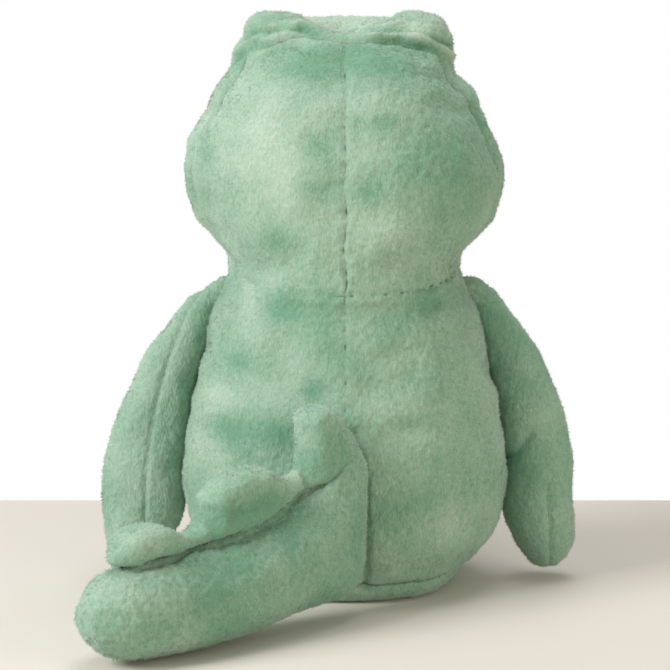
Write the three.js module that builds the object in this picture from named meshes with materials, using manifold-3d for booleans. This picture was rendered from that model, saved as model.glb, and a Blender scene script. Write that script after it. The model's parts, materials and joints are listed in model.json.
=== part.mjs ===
// Plush crocodile sitting upright: sewn cloth panels over stuffing, with a turning neck, arms, legs and tail.
// Millimetres, +Z up. The origin is the middle of the flat seat. The toy faces +Y and +X is its right side.
import * as THREE from 'three';
import { mergeVertices } from 'three/addons/utils/BufferGeometryUtils.js';
import Module from 'manifold-3d';

const wasm = await Module();
wasm.setup();

// Cloth and clearances
const CLOTH = 3; // plush with its pile
const SEAM_GAP = 0.3; // between panels along a seam, and between cloth and stuffing
const JOINT_GAP = 0.4; // between pieces that turn against each other
const FLOOR_GAP = 0.3; // legs and tail lie this far above the level of the seat

// Body, from the flat seat up to the neck
const SEAT_HALF_WIDTH = 48;
const SEAT_HALF_DEPTH = 44;
const SEAT_SEAM_HEIGHT = 12;
const SEAT_SEAM_HALF_WIDTH = 66;
const SEAT_SEAM_HALF_DEPTH = 60;
const BELLY_HEIGHT = 50;
const BELLY_HALF_WIDTH = 77;
const BELLY_HALF_DEPTH = 70;
const CHEST_HEIGHT = 105;
const CHEST_HALF_WIDTH = 69;
const CHEST_HALF_DEPTH = 65;
const NECK_HEIGHT = 150;
const NECK_RADIUS = 55;
const NECK_PIVOT_DROP = 33; // the nod axis lies this far below the neck seam
const NECK_SEAM_TILT = 9; // degrees, lower at the back
const SIDE_SEAM_Y = 6;

// Pellet pouch resting on the seat cloth
const POUCH_RADIUS = 38;
const POUCH_BULGE_RISE = 10; // height of its widest line
const POUCH_FLAT_RADIUS = 32;
const POUCH_TOP_RADIUS = 30;
const POUCH_TOP_RISE = 19;
const POUCH_THICKNESS = 24;

// Head, with heights measured up from the neck seam
const NAPE_DROP = 12;
const NAPE_HALF_WIDTH = 47;
const NAPE_HALF_DEPTH = 60;
const CHEEK_RISE = 40;
const CHEEK_HALF_WIDTH = 75.5;
const CHEEK_HALF_DEPTH = 60;
const TEMPLE_RISE = 80;
const TEMPLE_HALF_WIDTH = 63;
const TEMPLE_HALF_DEPTH = 46;
const CROWN_RISE = 104;
const CROWN_HALF_WIDTH = 32;
const CROWN_HALF_DEPTH = 22;
const CROWN_DOME = 3;
const FACE_SEAM_Y = -16;
const BROW_SEAM_RISE = 98;
const BROW_SEAM_SLOPE = 0.25; // fall per millimetre forward
const MOUTH_SEAM_RISE = 37;
const MOUTH_SEAM_SLOPE = 0.12;

// Eye bumps and the brow roll between them
const BUMP_SPREAD = 31;
const BUMP_Y = 8;
const BUMP_RISE = 95;
const BUMP_RADIUS_X = 21;
const BUMP_RADIUS_Y = 27;
const BUMP_RADIUS_Z = 25;
const BRIDGE_Y = 26;
const BRIDGE_RISE = 98;
const BRIDGE_RADIUS_X = 28;
const BRIDGE_RADIUS_Y = 14;
const BRIDGE_RADIUS_Z = 22;

// Snout
const SNOUT_REACH = 116;
const SNOUT_ROUNDING = 30;
const SNOUT_ROOT_RISE = 40;
const SNOUT_ROOT_HALF_WIDTH = 64;
const SNOUT_ROOT_HALF_HEIGHT = 33;
const SNOUT_TIP_RISE = 30;
const SNOUT_TIP_HALF_WIDTH = 47;
const SNOUT_TIP_HALF_HEIGHT = 25;
const NOSTRIL_SPREAD = 14;
const NOSTRIL_SETBACK = 22;
const NOSTRIL_RADIUS_X = 5;
const NOSTRIL_RADIUS_Y = 4;
const NOSTRIL_THICKNESS = 1.5;

// Safety eyes and their lock washers
const EYE_RADIUS = 6.5;
const EYE_DOME = 4;
const EYE_STEM_RADIUS = 2.5;
const EYE_STEM_LENGTH = 12;
const EYE_TURN_OUT = 20; // degrees from straight ahead
const EYE_TURN_UP = 15;
const WASHER_RADIUS = 8;
const WASHER_THICKNESS = 2;

// Arms, hanging from the shoulders down to the table
const SHOULDER_DROP = 12;
const SHOULDER_Y = 5;
const SHOULDER_RADIUS = 8;
const ARM_TIP_HEIGHT = 3;
const ARM_ROOT_HALF_WIDTH = 5.2;
const ARM_ROOT_HALF_DEPTH = 8;
const ARM_TOP_RISE = 4;
const HAND_LEFT_HALF_WIDTH = 20;
const HAND_RIGHT_HALF_WIDTH = 17.5;
const HAND_HALF_DEPTH = 15.5;
const HAND_ROUNDING = 27;
const HAND_START = 0.7; // share of the arm where it reaches its full size
const ARM_TAPER = 0.6; // below 1 the upper arm is plump
const HAND_LEAN = 4; // the tip stands out from the body
const ARM_PRESS = 1.5; // flattening against the body

// Legs, lying forward
const LEG_TUCK = 20; // the thigh starts this far inside the front of the belly
const LEG_LENGTH = 82;
const HIP_X = 34;
const FOOT_X = 40;
const THIGH_RADIUS = 20;
const FOOT_RADIUS = 25;
const THIGH_ROUNDING = 15;
const FOOT_ROUNDING = 18;
const SOLE_DEPTH = 9;

// Tail, lying on the table to the left of the back seam
const TAIL_STANDOFF = 6; // from the back of the belly to the tail's upright axis
const TAIL_TURN = 47; // degrees to the left of straight back
const TAIL_LENGTH = 144;
const TAIL_ROOT_RADIUS = 10;
const TAIL_ROOT_TOP = 76;
const TAIL_ROOT_BOTTOM = 9;
const TAIL_NECK_REACH = 30;
const TAIL_NECK_HALF_WIDTH = 16;
const TAIL_NECK_TOP = 61;
const TAIL_WAIST_REACH = 64;
const TAIL_WAIST_HALF_WIDTH = 21;
const TAIL_WAIST_TOP = 47.5;
const TAIL_END_HALF_WIDTH = 20;
const TAIL_END_TOP = 40;
const TAIL_ROUNDING = 28;
const TAIL_LANDING = 75; // from here on the tail lies on the table

// Crest, a wavy fin along the top of the tail
const CREST_THICKNESS = 16;
const CREST_ROUND = 6;
const CREST_ROOT_DEPTH = 20; // hidden part below the top of the tail
const CREST_START = -4;
const CREST_VALLEY = 6; // height left between two lobes
const LOBE_FRONT_LENGTH = 34;
const LOBE_FRONT_HEIGHT = 24;
const LOBE_MIDDLE_LENGTH = 60;
const LOBE_MIDDLE_HEIGHT = 25;
const LOBE_END_LENGTH = 38;
const LOBE_END_HEIGHT = 16;

// Fineness of the surfaces
const BODY_SIDES = 22;
const BODY_LEVELS = 6;
const DOME_LEVELS = 3;
const HEAD_LEVELS = 5;
const SNOUT_SIDES = 12;
const SNOUT_LEVELS = 3;
const LIMB_SIDES = 10;
const ARM_LEVELS = 4;
const LEG_LEVELS = 2;
const TAIL_SIDES = 12;
const TAIL_LEVELS = 4;
const BALL_SIDES = 12;
const CUP_SIDES = 24;
const EYE_LEVELS = 4;
const CUTTER_SIDES = 10;
const SWING_LEVELS = 5;
const CAP_TURNS = [32, 66].map(THREE.MathUtils.degToRad);
const LOBE_STEPS = 5;
const FLANK_SAMPLES = 80;
const HALVINGS = 30; // of the search along a size curve

const PLUSH = new THREE.MeshStandardMaterial({ color: 0x8fb59a, roughness: 0.95, metalness: 0 });
const FILLING = new THREE.MeshStandardMaterial({ color: 0xf2f0ea, roughness: 1, metalness: 0 });
const POUCH_CLOTH = new THREE.MeshStandardMaterial({ color: 0xd9d4c6, roughness: 0.9, metalness: 0 });
const EYE_GLOSS = new THREE.MeshStandardMaterial({ color: 0x1a1513, roughness: 0.15, metalness: 0 });
const WASHER_PLASTIC = new THREE.MeshStandardMaterial({ color: 0xe8e6e0, roughness: 0.5, metalness: 0 });
const NOSTRIL_THREAD = new THREE.MeshStandardMaterial({ color: 0x4f6b58, roughness: 0.85, metalness: 0 });

const { lerp, smoothstep, degToRad } = THREE.MathUtils;
const FILL_INSET = CLOTH + SEAM_GAP;
const SIDES = { left: -1, right: 1 };

function vector(x, y, z) {
  return new THREE.Vector3(x, y, z);
}

// A closed three.js geometry as a solid that can be joined and cut
function solid(geometry) {
  geometry.deleteAttribute('normal');
  geometry.deleteAttribute('uv');
  const merged = mergeVertices(geometry);
  const corners = merged.index.array;
  const triangles = [];
  for (let i = 0; i < corners.length; i += 3) {
    const [a, b, c] = corners.slice(i, i + 3);
    if (a !== b && b !== c && c !== a) triangles.push(a, b, c);
  }
  const vertProperties = merged.attributes.position.array;
  return new wasm.Manifold(new wasm.Mesh({ numProp: 3, vertProperties, triVerts: new Uint32Array(triangles) }));
}

// A solid as a named mesh, drawn about the origin of the group that it hangs in
function piece(name, body, material, origin = vector(0, 0, 0)) {
  const { vertProperties, triVerts } = body.getMesh();
  const geometry = new THREE.BufferGeometry();
  geometry.setAttribute('position', new THREE.BufferAttribute(vertProperties, 3));
  geometry.setIndex(new THREE.BufferAttribute(triVerts, 1));
  geometry.translate(-origin.x, -origin.y, -origin.z);
  geometry.computeVertexNormals();
  const mesh = new THREE.Mesh(geometry, material);
  mesh.name = name;
  return mesh;
}

// An elliptical ring of points: u and v are its half axes, and u x v is the direction of travel
function ring(centre, u, v, sides) {
  const points = [];
  for (let k = 0; k < sides; k++) {
    const angle = (k + 0.5) * 2 * Math.PI / sides;
    points.push(centre.clone().addScaledVector(u, Math.cos(angle)).addScaledVector(v, Math.sin(angle)));
  }
  return points;
}

// A closed skin through rings, with a point at each end
function loft(first, rings, last) {
  const sides = rings[0].length;
  const points = [first, ...rings.flat(), last];
  const at = (level, k) => 1 + level * sides + (k % sides);
  const top = rings.length - 1;
  const faces = [];
  for (let k = 0; k < sides; k++) {
    faces.push(0, at(0, k + 1), at(0, k));
    for (let level = 0; level < top; level++) {
      faces.push(at(level, k), at(level, k + 1), at(level + 1, k + 1));
      faces.push(at(level, k), at(level + 1, k + 1), at(level + 1, k));
    }
    faces.push(points.length - 1, at(top, k), at(top, k + 1));
  }
  const geometry = new THREE.BufferGeometry().setFromPoints(points);
  geometry.setIndex(faces);
  return solid(geometry);
}

// Stations along a limb, closer together over a rounded end
function stations(start, end, rounding, steps) {
  const list = [];
  for (let i = 0; i <= steps; i++) {
    list.push({ along: lerp(start, end - rounding, i / steps), taper: 1 });
  }
  for (const turn of CAP_TURNS) {
    list.push({ along: end - rounding + rounding * Math.sin(turn), taper: Math.cos(turn) });
  }
  return list;
}

// The point of a size curve at a given third coordinate
function sizeAt(curve, third) {
  let low = 0;
  let high = 1;
  for (let i = 0; i < HALVINGS; i++) {
    const middle = (low + high) / 2;
    if (curve.getPoint(middle).z < third) low = middle;
    else high = middle;
  }
  return curve.getPoint(low);
}

// Level rings that follow a curve of half width, half depth and height, moved inwards by the inset
function profileRings(curve, count, inset) {
  const rings = [];
  for (let i = 0; i <= count; i++) {
    const size = curve.getPoint(i / count);
    const along = curve.getTangent(i / count);
    const run = Math.hypot(along.x, along.z);
    const inward = inset * along.z / run;
    const centre = vector(0, 0, size.z + inset * along.x / run);
    rings.push(ring(centre, vector(size.x - inward, 0, 0), vector(0, size.y - inward, 0), BODY_SIDES));
  }
  return rings;
}

function ellipsoid(centre, radii, around) {
  const geometry = new THREE.SphereGeometry(1, around, around / 2);
  geometry.rotateY(Math.PI / around);
  geometry.scale(radii.x, radii.y, radii.z);
  geometry.translate(centre.x, centre.y, centre.z);
  return solid(geometry);
}

// A sphere whose flat facets all stay outside the given radius
function roundCutter(centre, radius, around) {
  const outside = radius / Math.cos(Math.PI / around) ** 2;
  return ellipsoid(centre, vector(outside, outside, outside), around);
}

// A turned body about the Z axis, from an outline of radius and height
function turned(outline, sides) {
  const geometry = new THREE.LatheGeometry(outline.map(([radius, height]) => new THREE.Vector2(radius, height)), sides);
  geometry.rotateX(Math.PI / 2);
  return geometry;
}

// An upright round cutter, with its facets outside the given radius
function rodOutline(radius, bottom, top) {
  const outside = radius / Math.cos(Math.PI / CUTTER_SIDES);
  return [[0, bottom], [outside, bottom], [outside, top], [0, top]];
}

function planeThrough(normal, point) {
  return new THREE.Plane().setFromNormalAndCoplanarPoint(normal.clone().normalize(), point);
}

// The part of a body on either side of a seam, half a seam gap away from it
function above(body, plane) {
  return body.trimByPlane(plane.normal.toArray(), SEAM_GAP / 2 - plane.constant);
}

function below(body, plane) {
  return above(body, plane.clone().negate());
}

const backSeam = planeThrough(vector(1, 0, 0), vector(0, 0, 0));
const neckTilt = degToRad(NECK_SEAM_TILT);
const neckSeam = planeThrough(vector(0, -Math.sin(neckTilt), Math.cos(neckTilt)), vector(0, 0, NECK_HEIGHT));

// Body
const neckPivot = vector(0, 0, NECK_HEIGHT - NECK_PIVOT_DROP);
const domeRadius = Math.hypot(NECK_RADIUS, NECK_PIVOT_DROP);
const bodyCurve = new THREE.CatmullRomCurve3([
  vector(SEAT_HALF_WIDTH, SEAT_HALF_DEPTH, 0),
  vector(SEAT_SEAM_HALF_WIDTH, SEAT_SEAM_HALF_DEPTH, SEAT_SEAM_HEIGHT),
  vector(BELLY_HALF_WIDTH, BELLY_HALF_DEPTH, BELLY_HEIGHT),
  vector(CHEST_HALF_WIDTH, CHEST_HALF_DEPTH, CHEST_HEIGHT),
  vector(NECK_RADIUS, NECK_RADIUS, NECK_HEIGHT),
]);

function bodyShape(inset) {
  const rings = profileRings(bodyCurve, BODY_LEVELS, inset);
  const start = Math.atan2(NECK_PIVOT_DROP, NECK_RADIUS);
  const radius = domeRadius - inset;
  for (let i = 1; i < DOME_LEVELS; i++) {
    const rise = lerp(start, Math.PI / 2, i / DOME_LEVELS);
    const reach = radius * Math.cos(rise);
    const centre = vector(0, 0, neckPivot.z + radius * Math.sin(rise));
    rings.push(ring(centre, vector(reach, 0, 0), vector(0, reach, 0), BODY_SIDES));
  }
  return loft(vector(0, 0, inset), rings, vector(0, 0, neckPivot.z + radius));
}

const shoulderZ = NECK_HEIGHT - SHOULDER_DROP;
const shoulders = {};
for (const [hand, side] of Object.entries(SIDES)) {
  shoulders[hand] = vector(side * sizeAt(bodyCurve, shoulderZ).x, SHOULDER_Y, shoulderZ);
}
const tailAxis = vector(0, -BELLY_HALF_DEPTH - TAIL_STANDOFF, 0);
const lobes = [
  { length: LOBE_FRONT_LENGTH, height: LOBE_FRONT_HEIGHT },
  { length: LOBE_MIDDLE_LENGTH, height: LOBE_MIDDLE_HEIGHT },
  { length: LOBE_END_LENGTH, height: LOBE_END_HEIGHT },
];

// Room in the body for the arm roots and the root of the tail
function bodyRoom() {
  const grooveTop = TAIL_ROOT_TOP + LOBE_FRONT_HEIGHT;
  const outline = rodOutline(TAIL_ROOT_RADIUS + JOINT_GAP, TAIL_ROOT_BOTTOM - JOINT_GAP, grooveTop);
  const groove = turned(outline, CUTTER_SIDES).translate(tailAxis.x, tailAxis.y, 0);
  const sockets = Object.values(shoulders).map((point) => roundCutter(point, SHOULDER_RADIUS + JOINT_GAP, BALL_SIDES));
  return solid(groove).add(sockets[0]).add(sockets[1]);
}

function pouchOutline(grown) {
  return [
    [0, FILL_INSET],
    [POUCH_FLAT_RADIUS + grown, FILL_INSET],
    [POUCH_RADIUS + grown, FILL_INSET + POUCH_BULGE_RISE],
    [POUCH_TOP_RADIUS + grown, FILL_INSET + POUCH_TOP_RISE + grown],
    [0, FILL_INSET + POUCH_THICKNESS + grown],
  ];
}

function makeTorso() {
  const group = new THREE.Group();
  const outer = bodyShape(0);
  const room = bodyRoom();
  const cloth = below(outer.subtract(bodyShape(CLOTH)).subtract(room), neckSeam);
  const seatSeam = planeThrough(vector(0, 0, 1), vector(0, 0, SEAT_SEAM_HEIGHT));
  const sideSeam = planeThrough(vector(0, 1, 0), vector(0, SIDE_SEAM_Y, 0));
  const upper = above(cloth, seatSeam);
  const back = below(upper, sideSeam);
  group.add(piece('body_back_left', below(back, backSeam), PLUSH));
  group.add(piece('body_back_right', above(back, backSeam), PLUSH));
  group.add(piece('belly_panel', above(upper, sideSeam), PLUSH));
  group.add(piece('base_panel', below(cloth, seatSeam), PLUSH));
  const recessBelow = solid(turned(rodOutline(POUCH_FLAT_RADIUS, 0, FILL_INSET + SEAM_GAP), CUTTER_SIDES));
  const recess = solid(turned(pouchOutline(SEAM_GAP), CUTTER_SIDES)).add(recessBelow);
  const dome = above(outer, neckSeam);
  const filling = bodyShape(FILL_INSET).add(dome).subtract(room).subtract(recess);
  group.add(piece('body_stuffing', filling, FILLING));
  group.add(piece('pellet_pouch', solid(turned(pouchOutline(0), CUTTER_SIDES)), POUCH_CLOTH));
  return group;
}

// Head
const headCurve = new THREE.CatmullRomCurve3([
  vector(NAPE_HALF_WIDTH, NAPE_HALF_DEPTH, NECK_HEIGHT - NAPE_DROP),
  vector(CHEEK_HALF_WIDTH, CHEEK_HALF_DEPTH, NECK_HEIGHT + CHEEK_RISE),
  vector(TEMPLE_HALF_WIDTH, TEMPLE_HALF_DEPTH, NECK_HEIGHT + TEMPLE_RISE),
  vector(CROWN_HALF_WIDTH, CROWN_HALF_DEPTH, NECK_HEIGHT + CROWN_RISE),
]);
const snoutCurve = new THREE.CatmullRomCurve3([
  vector(SNOUT_ROOT_HALF_WIDTH, SNOUT_ROOT_HALF_HEIGHT, 0),
  vector(SNOUT_TIP_HALF_WIDTH, SNOUT_TIP_HALF_HEIGHT, SNOUT_REACH),
]);

function snoutCentre(y) {
  return vector(0, y, NECK_HEIGHT + lerp(SNOUT_ROOT_RISE, SNOUT_TIP_RISE, y / SNOUT_REACH));
}

function snoutShape(inset) {
  const rings = stations(0, SNOUT_REACH - inset, SNOUT_ROUNDING, SNOUT_LEVELS).map(({ along, taper }) => {
    const size = sizeAt(snoutCurve, along);
    const tall = vector(0, 0, (size.y - inset) * taper);
    const wide = vector((size.x - inset) * taper, 0, 0);
    return ring(snoutCentre(along), tall, wide, SNOUT_SIDES);
  });
  return loft(snoutCentre(-CLOTH), rings, snoutCentre(SNOUT_REACH - inset));
}

function bumpCentre(side) {
  return vector(side * BUMP_SPREAD, BUMP_Y, NECK_HEIGHT + BUMP_RISE);
}

const bumpRadii = vector(BUMP_RADIUS_X, BUMP_RADIUS_Y, BUMP_RADIUS_Z);
const bridgeRadii = vector(BRIDGE_RADIUS_X, BRIDGE_RADIUS_Y, BRIDGE_RADIUS_Z);

function headShape(inset) {
  const floor = vector(0, 0, neckPivot.z + inset);
  const top = vector(0, 0, NECK_HEIGHT + CROWN_RISE + CROWN_DOME - inset);
  let shape = loft(floor, profileRings(headCurve, HEAD_LEVELS, inset), top);
  for (const side of Object.values(SIDES)) {
    shape = shape.add(ellipsoid(bumpCentre(side), bumpRadii.clone().subScalar(inset), BALL_SIDES));
  }
  const bridge = vector(0, BRIDGE_Y, NECK_HEIGHT + BRIDGE_RISE);
  shape = shape.add(ellipsoid(bridge, bridgeRadii.clone().subScalar(inset), BALL_SIDES));
  return shape.add(snoutShape(inset));
}

// Where an eye sits: its local +Z points straight out of the eye bump
function eyePlace(side) {
  const out = degToRad(EYE_TURN_OUT);
  const up = degToRad(EYE_TURN_UP);
  const look = vector(side * Math.sin(out) * Math.cos(up), Math.cos(out) * Math.cos(up), Math.sin(up));
  const reach = 1 / look.clone().divide(bumpRadii).length();
  const normal = look.clone().divide(bumpRadii).divide(bumpRadii).normalize();
  const turn = new THREE.Quaternion().setFromUnitVectors(vector(0, 0, 1), normal);
  return { point: bumpCentre(side).addScaledVector(look, reach), turn };
}

function eyeOutline() {
  const outline = [[0, -EYE_STEM_LENGTH], [EYE_STEM_RADIUS, -EYE_STEM_LENGTH]];
  outline.push([EYE_STEM_RADIUS, SEAM_GAP]);
  for (let i = 0; i < EYE_LEVELS; i++) {
    const turn = i / EYE_LEVELS * Math.PI / 2;
    outline.push([EYE_RADIUS * Math.cos(turn), 2 * SEAM_GAP + EYE_DOME * Math.sin(turn)]);
  }
  outline.push([0, 2 * SEAM_GAP + EYE_DOME]);
  return outline;
}

// The washer lies under the curved cloth, clear of it at the rim
const clothRadius = Math.min(BUMP_RADIUS_X, BUMP_RADIUS_Y, BUMP_RADIUS_Z) - CLOTH;
const washerSag = clothRadius - Math.sqrt(clothRadius ** 2 - WASHER_RADIUS ** 2);
const facetSag = BUMP_RADIUS_Y * (1 - Math.cos(Math.PI / BALL_SIDES) ** 2);
const washerTop = -CLOTH - washerSag - facetSag - SEAM_GAP;
const washerBore = EYE_STEM_RADIUS + SEAM_GAP;

function washerOutline() {
  const bottom = washerTop - WASHER_THICKNESS;
  return [
    [washerBore, bottom],
    [WASHER_RADIUS, bottom],
    [WASHER_RADIUS, washerTop],
    [washerBore, washerTop],
    [washerBore, bottom],
  ];
}

function atEye(geometry, side) {
  const place = eyePlace(side);
  return geometry.applyQuaternion(place.turn).translate(place.point.x, place.point.y, place.point.z);
}

// A stitched patch that follows the top of the snout
function nostril(side, patch) {
  const middle = snoutCentre(SNOUT_REACH - NOSTRIL_SETBACK);
  const tall = 2 * SNOUT_ROOT_HALF_HEIGHT;
  const geometry = turned([[0, 0], [1, 0], [1, tall], [0, tall]], CUTTER_SIDES);
  geometry.scale(NOSTRIL_RADIUS_X, NOSTRIL_RADIUS_Y, 1);
  geometry.translate(side * NOSTRIL_SPREAD, middle.y, middle.z);
  return solid(geometry).intersect(patch);
}

function makeHead() {
  const group = new THREE.Group();
  group.position.copy(neckPivot);
  const cup = roundCutter(neckPivot, domeRadius + JOINT_GAP, CUP_SIDES);
  const outer = headShape(0);
  let cloth = above(outer.subtract(headShape(CLOTH)).subtract(cup), neckSeam);
  let filling = above(headShape(FILL_INSET).subtract(cup), neckSeam);
  for (const side of Object.values(SIDES)) {
    const stemHole = rodOutline(washerBore, -EYE_STEM_LENGTH - SEAM_GAP, BUMP_RADIUS_Y);
    const washerBed = rodOutline(WASHER_RADIUS + SEAM_GAP, washerTop - WASHER_THICKNESS - SEAM_GAP, BUMP_RADIUS_Y);
    const hole = solid(atEye(turned(stemHole, CUTTER_SIDES), side));
    cloth = cloth.subtract(hole);
    filling = filling.subtract(hole).subtract(solid(atEye(turned(washerBed, CUTTER_SIDES), side)));
  }
  const faceSeam = planeThrough(vector(0, 1, 0), vector(0, FACE_SEAM_Y, 0));
  const browSeam = planeThrough(vector(0, BROW_SEAM_SLOPE, 1), vector(0, 0, NECK_HEIGHT + BROW_SEAM_RISE));
  const mouthSeam = planeThrough(vector(0, MOUTH_SEAM_SLOPE, 1), vector(0, 0, NECK_HEIGHT + MOUTH_SEAM_RISE));
  const brow = above(cloth, browSeam);
  const lower = below(cloth, browSeam);
  const back = below(lower, faceSeam);
  const face = above(lower, faceSeam);
  const panels = {
    head_back_left: below(back, backSeam),
    head_back_right: above(back, backSeam),
    brow_panel_left: below(brow, backSeam),
    brow_panel_right: above(brow, backSeam),
    snout_top: above(face, mouthSeam),
    jaw_panel: below(face, mouthSeam),
  };
  for (const [name, panel] of Object.entries(panels)) {
    group.add(piece(name, panel, PLUSH, neckPivot));
  }
  group.add(piece('head_stuffing', filling, FILLING, neckPivot));
  const patch = headShape(-SEAM_GAP - NOSTRIL_THICKNESS).subtract(headShape(-SEAM_GAP));
  for (const [hand, side] of Object.entries(SIDES)) {
    const socket = new THREE.Group();
    const place = eyePlace(side);
    socket.position.copy(place.point).sub(neckPivot);
    socket.quaternion.copy(place.turn);
    socket.add(piece('eye_' + hand, solid(turned(eyeOutline(), CUTTER_SIDES)), EYE_GLOSS));
    socket.add(piece('eye_washer_' + hand, solid(turned(washerOutline(), CUTTER_SIDES)), WASHER_PLASTIC));
    group.add(socket);
    group.add(piece('nostril_' + hand, nostril(side, patch), NOSTRIL_THREAD, neckPivot));
  }
  return group;
}

// The widest half width of the body anywhere above a height
function widestAbove(height) {
  let widest = 0;
  for (const point of bodyCurve.getPoints(FLANK_SAMPLES)) {
    if (point.z >= height) widest = Math.max(widest, point.x);
  }
  return Math.max(widest, sizeAt(bodyCurve, height).x);
}

const armLength = shoulderZ - ARM_TIP_HEIGHT;

// How far the arm has grown from its root's size to the hand's
function armGrowth(share) {
  return Math.min(share / HAND_START, 1) ** ARM_TAPER;
}

function armHalfWidth(share, handHalfWidth) {
  return lerp(ARM_ROOT_HALF_WIDTH, handHalfWidth, armGrowth(share));
}

function armCentre(hand, handHalfWidth, along) {
  const share = along / armLength;
  const flank = widestAbove(shoulderZ - along);
  const lean = HAND_LEAN * smoothstep(share, HAND_START, 1);
  const x = flank + armHalfWidth(share, handHalfWidth) - ARM_PRESS + lean;
  return vector(SIDES[hand] * x, SHOULDER_Y, shoulderZ - along);
}

// The space that the body needs while the arm swings round the shoulder axis
function swingRoom(hand, inset) {
  const outline = [];
  const far = shoulderZ + SHOULDER_RADIUS;
  outline.push(new THREE.Vector2(0, 0));
  outline.push(new THREE.Vector2(far, 0));
  for (let i = SWING_LEVELS; i >= 0; i--) {
    const radius = far * i / SWING_LEVELS;
    outline.push(new THREE.Vector2(radius, widestAbove(shoulderZ - radius) + JOINT_GAP + inset));
  }
  const geometry = new THREE.LatheGeometry(outline, CUTTER_SIDES);
  geometry.rotateZ(-SIDES[hand] * Math.PI / 2);
  geometry.translate(0, SHOULDER_Y, shoulderZ);
  return solid(geometry);
}

function armShape(hand, handHalfWidth, inset) {
  const rings = stations(0, armLength - inset, HAND_ROUNDING, ARM_LEVELS).map(({ along, taper }) => {
    const share = along / armLength;
    const halfWidth = (armHalfWidth(share, handHalfWidth) - inset) * taper;
    const halfDepth = (lerp(ARM_ROOT_HALF_DEPTH, HAND_HALF_DEPTH, armGrowth(share)) - inset) * taper;
    return ring(armCentre(hand, handHalfWidth, along), vector(halfWidth, 0, 0), vector(0, -halfDepth, 0), LIMB_SIDES);
  });
  const top = armCentre(hand, handHalfWidth, 0).add(vector(0, 0, ARM_TOP_RISE - inset));
  const tip = armCentre(hand, handHalfWidth, armLength - inset);
  return loft(top, rings, tip).subtract(swingRoom(hand, inset));
}

// Everything on the outer side of the arm's lengthwise seam
function armOuterSide(hand, handHalfWidth, shift) {
  const outside = SIDES[hand] * (BELLY_HALF_WIDTH + 4 * handHalfWidth);
  const line = [];
  for (let i = 0; i <= ARM_LEVELS; i++) {
    const centre = armCentre(hand, handHalfWidth, armLength * i / ARM_LEVELS);
    line.push(new THREE.Vector2(centre.x + SIDES[hand] * shift, centre.z));
  }
  const start = new THREE.Vector2(line[0].x, shoulderZ + armLength);
  const end = new THREE.Vector2(line[ARM_LEVELS].x, ARM_TIP_HEIGHT - armLength);
  const corners = [new THREE.Vector2(outside, end.y), new THREE.Vector2(outside, start.y)];
  const shape = new THREE.Shape([start, ...line, end, ...corners]);
  const geometry = new THREE.ExtrudeGeometry(shape, { depth: 4 * HAND_HALF_DEPTH, bevelEnabled: false });
  geometry.translate(0, 0, -2 * HAND_HALF_DEPTH);
  geometry.rotateX(Math.PI / 2);
  geometry.translate(0, SHOULDER_Y, 0);
  return solid(geometry);
}

function makeArm(hand, handHalfWidth) {
  const group = new THREE.Group();
  const pivot = shoulders[hand];
  group.position.copy(pivot);
  const cloth = armShape(hand, handHalfWidth, 0).subtract(armShape(hand, handHalfWidth, CLOTH));
  const outer = cloth.intersect(armOuterSide(hand, handHalfWidth, SEAM_GAP / 2));
  const inner = cloth.subtract(armOuterSide(hand, handHalfWidth, -SEAM_GAP / 2));
  const ball = ellipsoid(pivot, vector(SHOULDER_RADIUS, SHOULDER_RADIUS, SHOULDER_RADIUS), BALL_SIDES);
  const rootEnd = Math.abs(pivot.x) + JOINT_GAP + CLOTH / 2;
  const root = ball.trimByPlane([-SIDES[hand], 0, 0], -rootEnd);
  group.add(piece('arm_' + hand + '_outer', outer, PLUSH, pivot));
  group.add(piece('arm_' + hand + '_inner', inner.add(root), PLUSH, pivot));
  group.add(piece('arm_' + hand + '_stuffing', armShape(hand, handHalfWidth, FILL_INSET), FILLING, pivot));
  return group;
}

// Legs
const legStart = BELLY_HALF_DEPTH - LEG_TUCK;
const legEnd = legStart + LEG_LENGTH;

function legShape(side, inset) {
  const start = legStart + inset;
  const end = legEnd - inset;
  const list = stations(start + THIGH_ROUNDING, end, FOOT_ROUNDING, LEG_LEVELS);
  for (const turn of CAP_TURNS) {
    const along = start + THIGH_ROUNDING - THIGH_ROUNDING * Math.sin(turn);
    list.unshift({ along, taper: Math.cos(turn) });
  }
  const centre = (along) => {
    const share = (along - legStart) / LEG_LENGTH;
    const radius = lerp(THIGH_RADIUS, FOOT_RADIUS, share);
    return vector(side * lerp(HIP_X, FOOT_X, share), along, radius + FLOOR_GAP);
  };
  const rings = list.map(({ along, taper }) => {
    const middle = centre(along);
    const radius = (middle.z - FLOOR_GAP - inset) * taper;
    return ring(middle, vector(0, 0, radius), vector(radius, 0, 0), LIMB_SIDES);
  });
  return loft(centre(start), rings, centre(end));
}

function makeLeg(hand, side) {
  const group = new THREE.Group();
  const pivot = vector(side * HIP_X, BELLY_HALF_DEPTH, 2 * THIGH_RADIUS + FLOOR_GAP);
  group.position.copy(pivot);
  const body = bodyShape(-JOINT_GAP);
  const cloth = legShape(side, 0).subtract(legShape(side, CLOTH)).subtract(body);
  const soleSeam = planeThrough(vector(0, 1, 0), vector(0, legEnd - SOLE_DEPTH, 0));
  const sideSeam = planeThrough(
    vector(side * LEG_LENGTH, HIP_X - FOOT_X, 0),
    vector(side * HIP_X, legStart, 0),
  );
  const shank = below(cloth, soleSeam);
  const name = 'leg_' + hand;
  group.add(piece(name + '_outer', above(shank, sideSeam), PLUSH, pivot));
  group.add(piece(name + '_inner', below(shank, sideSeam), PLUSH, pivot));
  group.add(piece(name + '_sole', above(cloth, soleSeam), PLUSH, pivot));
  group.add(piece(name + '_stuffing', legShape(side, FILL_INSET).subtract(body), FILLING, pivot));
  return group;
}

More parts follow.
